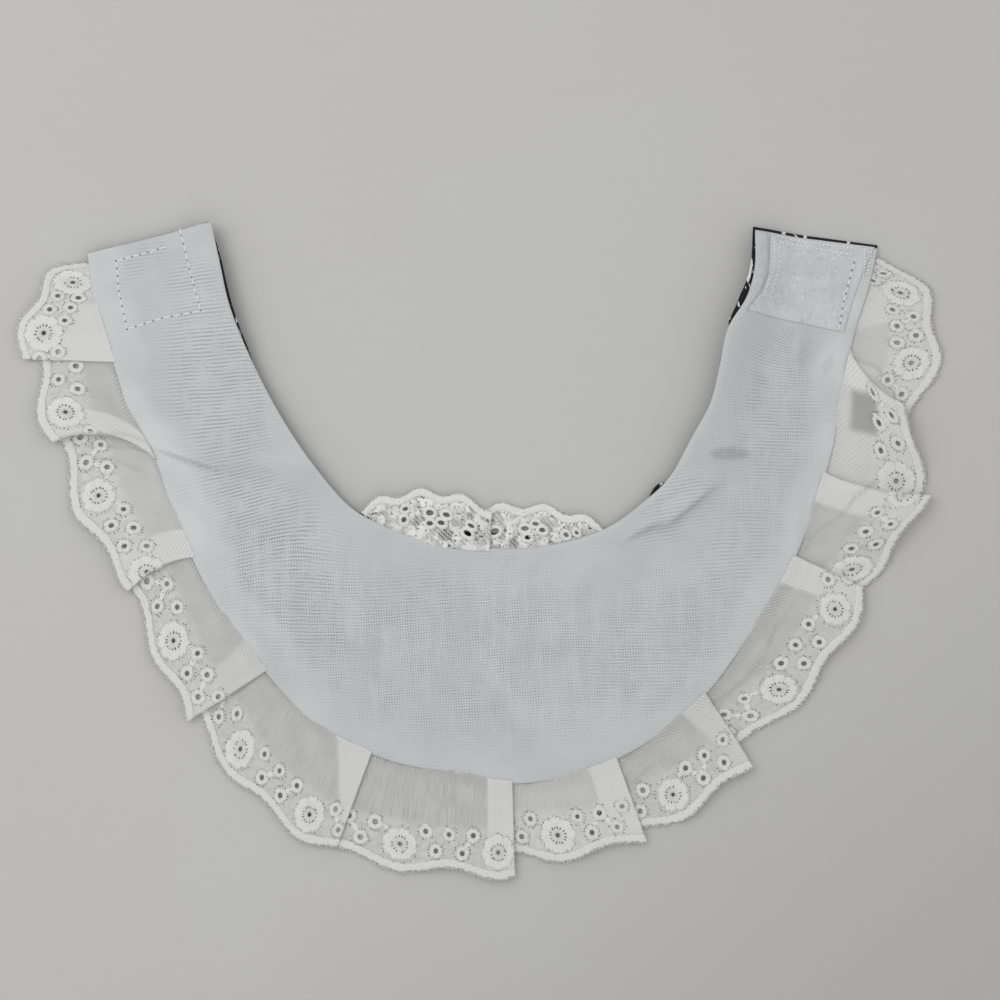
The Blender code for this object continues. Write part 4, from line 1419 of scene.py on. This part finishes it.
def build_ruffle():
    edge = SewnEdge(1.0, 1.0)

    def table_height(spot, down):
        return hook_rise(spot) * (1.0 - down) + ROOT_HEIGHT * (1.0 - ease(down / 0.15))

    strip = Ruffle(RUFFLE, edge, RUFFLE_FIRST_SEAM, SCALLOP_DEPTH, table_height)
    dice = random.Random(11)
    eyelet = satin_ring("eyelet_motif", EYELET_HOLE, EYELET_RIM, 36, 8, 0.15, 0.34)
    flower = satin_ring("flower_motif", FLOWER_HOLE, FLOWER_RIM, 112, 14, 0.17, 0.42, FLOWER_GROOVE, 8)
    bar, hole = thread_bar("bar_motif"), prick("needle_motif")
    holes, pieces, pricks = [], [], []

    def sew_ring(template, index, along, inward, size):
        wide, tall = dice.uniform(0.94, 1.07), dice.uniform(0.94, 1.07)

        def spread(x, y, z):
            return strip.point(index, along + x * wide, inward - y * tall, z + 0.05)

        pieces.append(sewn_copy(template, spread, dice.uniform(0.0, TURN), size))

    def ring_of_pricks(index, along, inward, radius, count, share, spread_by, above, size=1.0):
        turn = dice.uniform(0.0, TURN)
        for number in range(count):
            if dice.random() > share:
                continue
            angle = turn + TURN * (number + dice.uniform(-0.2, 0.2)) / count
            away = radius + dice.uniform(-spread_by, spread_by)
            middle_x, middle_y = along + away * math.cos(angle), inward + away * math.sin(angle)
            long, wide = dice.uniform(0.35, 0.7) * size, dice.uniform(0.22, 0.36) * size
            pricks.append(sewn_copy(hole, laid_on(strip, index, middle_x, middle_y, angle, long, wide, above)))

    def clear(index, along, reach):
        """Whether a motif that reaches this far in stays outside the seam."""
        return index > 0 or reach < strip.width(index, clamped(along / strip.hems[index]))

    for index, stretch in enumerate(RUFFLE):
        stretch_by = stretch.repeat / STANDARD_REPEAT
        for turn in range(-1, 4):
            middle = stretch.flower + turn * stretch.repeat
            starts = FLOWER_CLEAR if index == 0 else -FLOWER_CLEAR
            if starts < middle < strip.hems[index] + FLOWER_CLEAR and clear(index, middle, FLOWER_IN + 5.5):
                holes.append(Hole(index, middle, FLOWER_IN, 3.0, 3.0))
                sew_ring(flower, index, middle, FLOWER_IN, dice.uniform(0.96, 1.04))
                ring_of_pricks(index, middle, FLOWER_IN, FLOWER_GROOVE, 15, 0.95, 0.12, 0.27, 1.35)
                share = dice.uniform(0.35, 0.75)
                ring_of_pricks(index, middle, FLOWER_IN, FLOWER_RIM + 0.3, 34, share, 0.3, 0.1)
            spots = [(middle + along * stretch_by, inward) for along, inward in EYELETS]
            for spot, inward in spots:
                starts = 4.5 if index == 0 else -2.0
                if not starts < spot < strip.hems[index] + 1.5 or not clear(index, spot, inward + 2.4):
                    continue
                holes.append(Hole(index, spot, inward, 1.35, 1.35))
                sew_ring(eyelet, index, spot, inward, dice.uniform(0.92, 1.06))
                ring_of_pricks(index, spot, inward, EYELET_RIM + 0.4, 18, dice.uniform(0.35, 0.9), 0.3, 0.1)
            following = middle + stretch.repeat
            chain = [(middle + 3.0, FLOWER_IN + 3.5), *spots, (following - 3.0, FLOWER_IN + 3.5)]
            for start, end in zip(chain, chain[1:]):
                middle_x, middle_y = (start[0] + end[0]) / 2.0, (start[1] + end[1]) / 2.0
                if not (6.0 if index == 0 else 0.0) < middle_x < strip.hems[index] or dice.random() < 0.6:
                    continue
                heading = math.atan2(end[1] - start[1], end[0] - start[0])
                long = math.hypot(end[0] - start[0], end[1] - start[1]) - 2.0 * BAR_CLEAR
                spread = laid_on(strip, index, middle_x, middle_y, heading, long, BAR_WIDTH, flat=BAR_HEIGHT)
                pieces.append(sewn_copy(bar, spread))
    for start, end in zip(LOOSE_THREAD, LOOSE_THREAD[1:]):
        run = Vector(end) - Vector(start)

        def spread(x, y, z):
            aside = Vector((-run.y, run.x)).normalized()
            spot = Vector(start) + run * (0.5 + x) + aside * y * LOOSE_THREAD_WIDTH
            return Vector((spot.x, spot.y, LOOSE_THREAD_HEIGHT + LOOSE_THREAD_WIDTH * z))

        pieces.append(sewn_copy(bar, spread))
    for template in (eyelet, flower, bar, hole):
        bpy.data.objects.remove(template)
    sheet = strip_sheet("eyelet_ruffle", strip, 0.8, 8, 36, holes)
    hem = satin_hem("ruffle_hem", strip, 0.42, 2.5, 0.17, 0.5)
    embroidery = join([hem, hairs("hem_hairs", strip, 2600, 3)] + pieces, "ruffle_embroidery")
    return sheet, embroidery, join(pricks, "ruffle_needle_holes")


# Eyelets of the neck lace: middle, half width and half height.
NeckEyelet = namedtuple("NeckEyelet", "x y half_width half_height")
NECK_EYELETS = rows_of(NeckEyelet, [
    (-20.8, 11.6, 0.8, 0.5), (-21.5, 8.8, 0.75, 0.7), (-14.1, 10.5, 1.1, 0.75),
    (-9.2, 9.8, 1.0, 0.6), (-14.2, 7.8, 0.9, 0.6), (-10.9, 7.7, 1.0, 0.6),
    (-2.4, 7.0, 0.9, 0.5), (-3.5, 4.7, 1.1, 0.75), (4.2, 5.4, 1.2, 0.9),
    (12.9, 6.2, 1.0, 0.6), (16.0, 7.5, 0.9, 0.5), (18.0, 5.6, 0.8, 0.6),
    (14.0, 3.4, 0.8, 0.55), (24.6, 4.5, 0.7, 0.6), (27.8, 4.8, 0.5, 0.4),
])
NECK_LACE_ON_FACE = 6.0  # how far out the neck lace lies on the face before it drops to the table
NECK_LACE_DROP = 3.5
SAMPLE_STEP = 0.5  # how finely the lace is searched for the spot that shows at an eyelet's place
HEM_PRICK_STEP = 0.62

# Where the lace is an open net of slanting threads.
NETTED = ovals(
    (-29.0, 8.8, 4.5, 2.8, 0.0, 0.8), (-17.6, 8.5, 1.6, 5.5, 0.0, 1.0), (-8.0, 4.4, 5.0, 3.2, 20.0, 1.0),
    (-1.2, 10.8, 4.0, 3.2, -30.0, 0.9), (9.6, 4.6, 3.8, 5.2, 0.0, 1.0), (21.2, 3.6, 2.0, 4.2, 0.0, 1.0),
    (-25.0, 12.6, 2.0, 2.0, 0.0, 0.6), (2.0, 4.0, 36.0, 9.0, 0.0, 0.45),
)


def build_neck_lace():
    edge = SewnEdge(0.0, -1.0)

    def table_height(spot, down):
        out, place = min(((spot - root).length, place) for root, place in zip(edge.spots, edge.places))
        drop = ease((out - NECK_LACE_ON_FACE) / NECK_LACE_DROP)
        return 0.55 * (1.0 - drop) + cloth_height(place, 0.0)

    strip = PleatedStrip(NECK_LACE, edge, NECK_LACE_FIRST_SEAM, NECK_SCALLOP_DEPTH, table_height)
    samples = []
    for index, hem in enumerate(strip.hems):
        for step in range(int(hem / SAMPLE_STEP)):
            for row in range(34):
                along, inward = step * SAMPLE_STEP, row * SAMPLE_STEP
                point = strip.point(index, along, inward)
                samples.append((point.x, point.y, index, along, inward))
    ring = satin_ring("frill_eyelet", 1.0, 2.1, 30, 8, 0.34, 0.2)
    holes, pieces = [], []
    for eyelet in NECK_EYELETS:
        wanted = 1 if eyelet.x > 1.0 else 0
        _, index, along, inward = min(
            (math.hypot(sample[0] - eyelet.x, sample[1] - eyelet.y), *sample[2:])
            for sample in samples if sample[2] == wanted
        )
        holes.append(Hole(index, along, inward, eyelet.half_width * 1.35, eyelet.half_height * 1.35))

        def spread(x, y, z):
            radius = math.hypot(x, y)
            rim = radius - 1.0
            across = x / radius * (eyelet.half_width + rim)
            up = y / radius * (eyelet.half_height + rim)
            return strip.point(index, along + across, inward - up, z + 0.05)

        pieces.append(sewn_copy(ring, spread))
    hole = prick("needle_motif")
    dice = random.Random(31)
    pricks = []

    def prick_at(*spot_and_size):
        pricks.append(sewn_copy(hole, laid_on(strip, *spot_and_size)))

    for index, along, inward, half_width, half_height in holes:
        for number in range(15):
            if dice.random() < 0.3:
                continue
            turn = TURN * (number + dice.uniform(-0.3, 0.3)) / 15.0
            away = dice.uniform(0.75, 1.5)
            beyond = along + (half_width + away) * math.cos(turn), inward + (half_height + away) * math.sin(turn)
            prick_at(index, *beyond, turn, dice.uniform(0.3, 0.55), dice.uniform(0.2, 0.32), 0.22)
    for index, hem_line in enumerate(strip.hems):
        for number in range(int(hem_line / HEM_PRICK_STEP)):
            along = HEM_PRICK_STEP * (number + dice.uniform(-0.2, 0.2)) + 0.3
            if dice.random() < 0.55:
                continue
            inward = strip.scallop(index, along) + 2.55 + dice.uniform(-0.15, 0.25)
            prick_at(index, along, inward, math.pi / 2.0, dice.uniform(0.35, 0.8), dice.uniform(0.2, 0.3), 0.12)
    bpy.data.objects.remove(ring)
    bpy.data.objects.remove(hole)
    sheet = strip_sheet("frill_lace_cloth", strip, 0.45, 8, 38, holes)
    places = [(vertex.co.x / MM + CENTRE_X, vertex.co.y / MM + CENTRE_Y) for vertex in sheet.data.vertices]
    lay_values(sheet, "netted", [oval_share(NETTED, x, y) for x, y in places])
    hem = satin_hem("frill_hem", strip, 0.33, 2.4, 0.36, 0.28)
    embroidery = join([hem, hairs("frill_hairs", strip, 110, 4)] + pieces, "frill_embroidery")
    return sheet, embroidery, join(pricks, "frill_needle_holes")


# ---- stitches ----

# Rows of stitches: the spots that a row runs through, the length of one stitch, and whether its
# needle holes show.
HOOK_ROWS = [
    ([(-103.0, 82.0), (-102.2, 73.5), (-99.9, 62.6)], 2.35, True),
    ([(-99.9, 62.6), (-90.0, 65.8), (-78.8, 67.8)], 2.75, True),
    ([(-78.8, 67.8), (-82.0, 79.6), (-84.9, 91.5)], 2.55, True),
    ([(-103.0, 82.0), (-94.0, 84.4), (-88.4, 86.2)], 2.5, True),
]
LOOP_ROWS_SEWN = [
    ([(106.5, 81.6), (103.5, 70.6), (102.2, 62.4)], 2.3, True),
    ([(83.6, 88.6), (83.2, 80.0), (80.2, 71.5)], 1.1, False),
    ([(85.2, 87.6), (84.8, 79.6), (82.0, 71.0)], 1.3, False),
    ([(84.0, 88.8), (95.0, 87.2), (107.5, 85.6)], 1.2, False),
    ([(85.2, 87.3), (95.3, 85.6), (106.3, 83.8)], 1.4, False),
    ([(109.3, 85.2), (109.5, 80.6), (109.0, 77.4)], 0.9, False),
    ([(111.4, 84.9), (110.7, 81.0), (109.9, 78.0)], 0.9, False),
]
THREAD = 0.2


def stitch_template():
    """One stitch: a rod 1 mm long with rounded, sunken ends, along x."""
    bpy.ops.object.select_all(action="DESELECT")
    bpy.ops.mesh.primitive_uv_sphere_add(segments=8, ring_count=9, radius=0.5)
    stitch = bpy.context.object
    with all_in_hand():
        bpy.ops.transform.rotate(value=math.pi / 2.0, orient_axis="Y", center_override=(0.0, 0.0, 0.0))
        bpy.ops.transform.resize(value=(1.0, THREAD * 2.0, THREAD * 2.0))
    for vertex in stitch.data.vertices:
        vertex.co.z -= 0.5 * vertex.co.x**2
    return stitch


# A needle hole beside a stitch, as a low dark disc coloured with painted shade.
def dot_template():
    bpy.ops.object.select_all(action="DESELECT")
    bpy.ops.mesh.primitive_uv_sphere_add(segments=8, ring_count=6, radius=0.26)
    with all_in_hand():
        bpy.ops.transform.resize(value=(1.0, 1.0, 0.3))
    return bpy.context.object


def sew(name, rows, surface):
    stitch, dot = stitch_template(), dot_template()
    dice = random.Random(23)
    threads, dots = [], []
    for line, length, holes_show in rows:
        legs = [(Vector(first), Vector(second)) for first, second in zip(line, line[1:])]
        for start, end in legs:
            count = max(round((end - start).length / length), 1)
            run = (end - start) / count
            heading = math.atan2(run.y, run.x)
            for number in range(count):
                middle = start + run * (number + 0.5)
                long = run.length * dice.uniform(0.62, 0.8)
                tilt = heading + (dice.uniform(-0.08, 0.08) if holes_show else dice.uniform(-0.8, 0.8))

                def spread(x, y, z):
                    across = x * long
                    spot = middle + Vector((across * math.cos(tilt) - y * math.sin(tilt),
                                            across * math.sin(tilt) + y * math.cos(tilt)))
                    return (spot.x, spot.y, surface(spot) + z + 0.05)

                threads.append(sewn_copy(stitch, spread))
                if not holes_show:
                    continue
                hole = start + run * number

                def prick(x, y, z):
                    return (hole.x + x, hole.y + y, surface(hole) + z)

                dots.append(sewn_copy(dot, prick))
    for template in (stitch, dot):
        bpy.data.objects.remove(template)
    return join(threads, name), join(dots, name + "_needle_holes")


def lining_top(spot, horn):
    """Height of the lining's upper side at a spot on this horn."""
    return lining_point(*place_of(spot, horn)).z + CLOTH / 2.0


# ---- building ----

lining = build_lining()
face = build_face()
loop_patch = build_loop_patch()
hook_patch = build_hook_patch()
ruffle, ruffle_embroidery, ruffle_pricks = build_ruffle()
frill, frill_embroidery, frill_pricks = build_neck_lace()
hook_stitches, hook_pricks = sew("hook_patch_stitches", HOOK_ROWS, lambda spot: lining_top(spot, LEFT_HORN))
loop_stitches, loop_pricks = sew(
    "loop_patch_stitches", LOOP_ROWS_SEWN, lambda spot: lining_top(spot, RIGHT_HORN) + 0.5
)

voile, cotton, ruffle_voile, ground = lining_voile(), printed_cotton(), eyelet_voile(), frill_ground()
satin = satin_thread("ruffle_satin", (0.66, 0.665, 0.64), (0.79, 0.795, 0.77))
thick_satin = satin_thread("frill_satin", (0.70, 0.705, 0.68), (0.87, 0.875, 0.85))
pile, hooks, thread = loop_pile(), hook_weave(), sewing_thread()
# Painted shade for the needle holes' dark discs.
dark = needle_hole_shade("needle_hole_shade", (0.10, 0.11, 0.12), (0.22, 0.23, 0.24))
dim = needle_hole_shade("lace_needle_hole_shade", (0.09, 0.09, 0.085), (0.28, 0.28, 0.265))

PIECES = [
    (lining, voile, "lining_voile", ["lining"]),
    (face, cotton, "printed_cotton", ["face_panel"]),
    (loop_patch, pile, "loop_tape", ["loop_patch"]),
    (hook_patch, hooks, "hook_tape", ["hook_patch"]),
    (ruffle, ruffle_voile, "eyelet_voile", ["ruffle"]),
    (ruffle_embroidery, satin, "eyelet_voile", []),
    (ruffle_pricks, dim, "eyelet_voile", []),
    (frill, ground, "frill_lace", ["neck_lace"]),
    (frill_embroidery, thick_satin, "frill_lace", []),
    (frill_pricks, dim, "frill_lace", []),
    (hook_stitches, thread, "lining_voile", []),
    (hook_pricks, dark, "lining_voile", []),
    (loop_stitches, thread, "loop_tape", []),
    (loop_pricks, dark, "loop_tape", []),
]
for piece, material, slot, nodes in PIECES:
    piece.data.materials.clear()
    piece.data.materials.append(material)
    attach(piece, "root")
    if nodes:
        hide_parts(*nodes)

# ---- stage ----


def table_top():
    material, tree, shader = finish("table_top", 0.75)
    place = on_object(tree)
    away = add(tree, "ShaderNodeVectorMath", {0: place}, operation="LENGTH").outputs["Value"]
    cloud = plus(speckle(place, 9.0, 3.0), times(away, -3.0))
    # Painted shade: the table is darker towards the lower right, where less light falls.
    to_corner = {0: place, 1: (0.62, -0.78, 0.0)}
    corner = add(tree, "ShaderNodeVectorMath", to_corner, operation="DOT_PRODUCT").outputs["Value"]
    grain = speckle(place, 240.0, 4.0)
    streaks = speckle(mapped(place, scale=(0.12, 1.0, 1.0)), 500.0, 3.0)
    colour = blend_colours(between(cloud, -0.05, 0.35), (0.555, 0.545, 0.52), (0.56, 0.563, 0.555))
    colour = blend_colours(between(corner, 0.02, 0.2), colour, (0.46, 0.455, 0.435))
    marks = times(plus(grain, streaks), 0.09)
    colour = blend_colours(marks, colour, (0.40, 0.395, 0.38))
    dress(shader, colour, grain, 0.0001, 0.2)
    return material


bpy.ops.object.select_all(action="DESELECT")
bpy.ops.mesh.primitive_plane_add(size=4.0, location=(0.0, 0.0, 0.0))
floor = bpy.context.object
floor.name = "table"
floor.data.materials.append(table_top())

VIEW_WIDTH = 0.285  # metres of the table that the picture spans
VIEW_HEIGHT = 0.62
VIEW_X, VIEW_Y = 0.00587, 0.01434
SENSOR = 36.0

camera_data = bpy.data.cameras.new("camera")
camera_data.sensor_width = SENSOR
camera_data.lens = SENSOR * VIEW_HEIGHT / VIEW_WIDTH
camera = bpy.data.objects.new("camera", camera_data)
camera.location = (VIEW_X, VIEW_Y, VIEW_HEIGHT)
bpy.context.scene.collection.objects.link(camera)
bpy.context.scene.camera = camera


def soft_light(name, size, energy, location, target):
    """A square panel of this size in metres and this power in watts, turned to its target."""
    data = bpy.data.lights.new(name, "AREA")
    data.shape = "SQUARE"
    data.size = size
    data.energy = energy
    light = bpy.data.objects.new(name, data)
    light.location = location
    light.rotation_euler = (Vector(target) - Vector(location)).to_track_quat("-Z", "Y").to_euler()
    bpy.context.scene.collection.objects.link(light)


soft_light("ceiling_panel", 0.5, 1.32, (-0.4, 0.25, 0.6), (0.0, 0.0, 0.0))
world = bpy.data.worlds.new("room")
world.use_nodes = True
walls = world.node_tree.nodes["Background"].inputs
walls["Color"].default_value = (1.0, 1.0, 1.0, 1.0)
walls["Strength"].default_value = 0.745
bpy.context.scene.world = world
bpy.context.scene.view_settings.view_transform = "Standard"

bpy.context.view_layer.update()
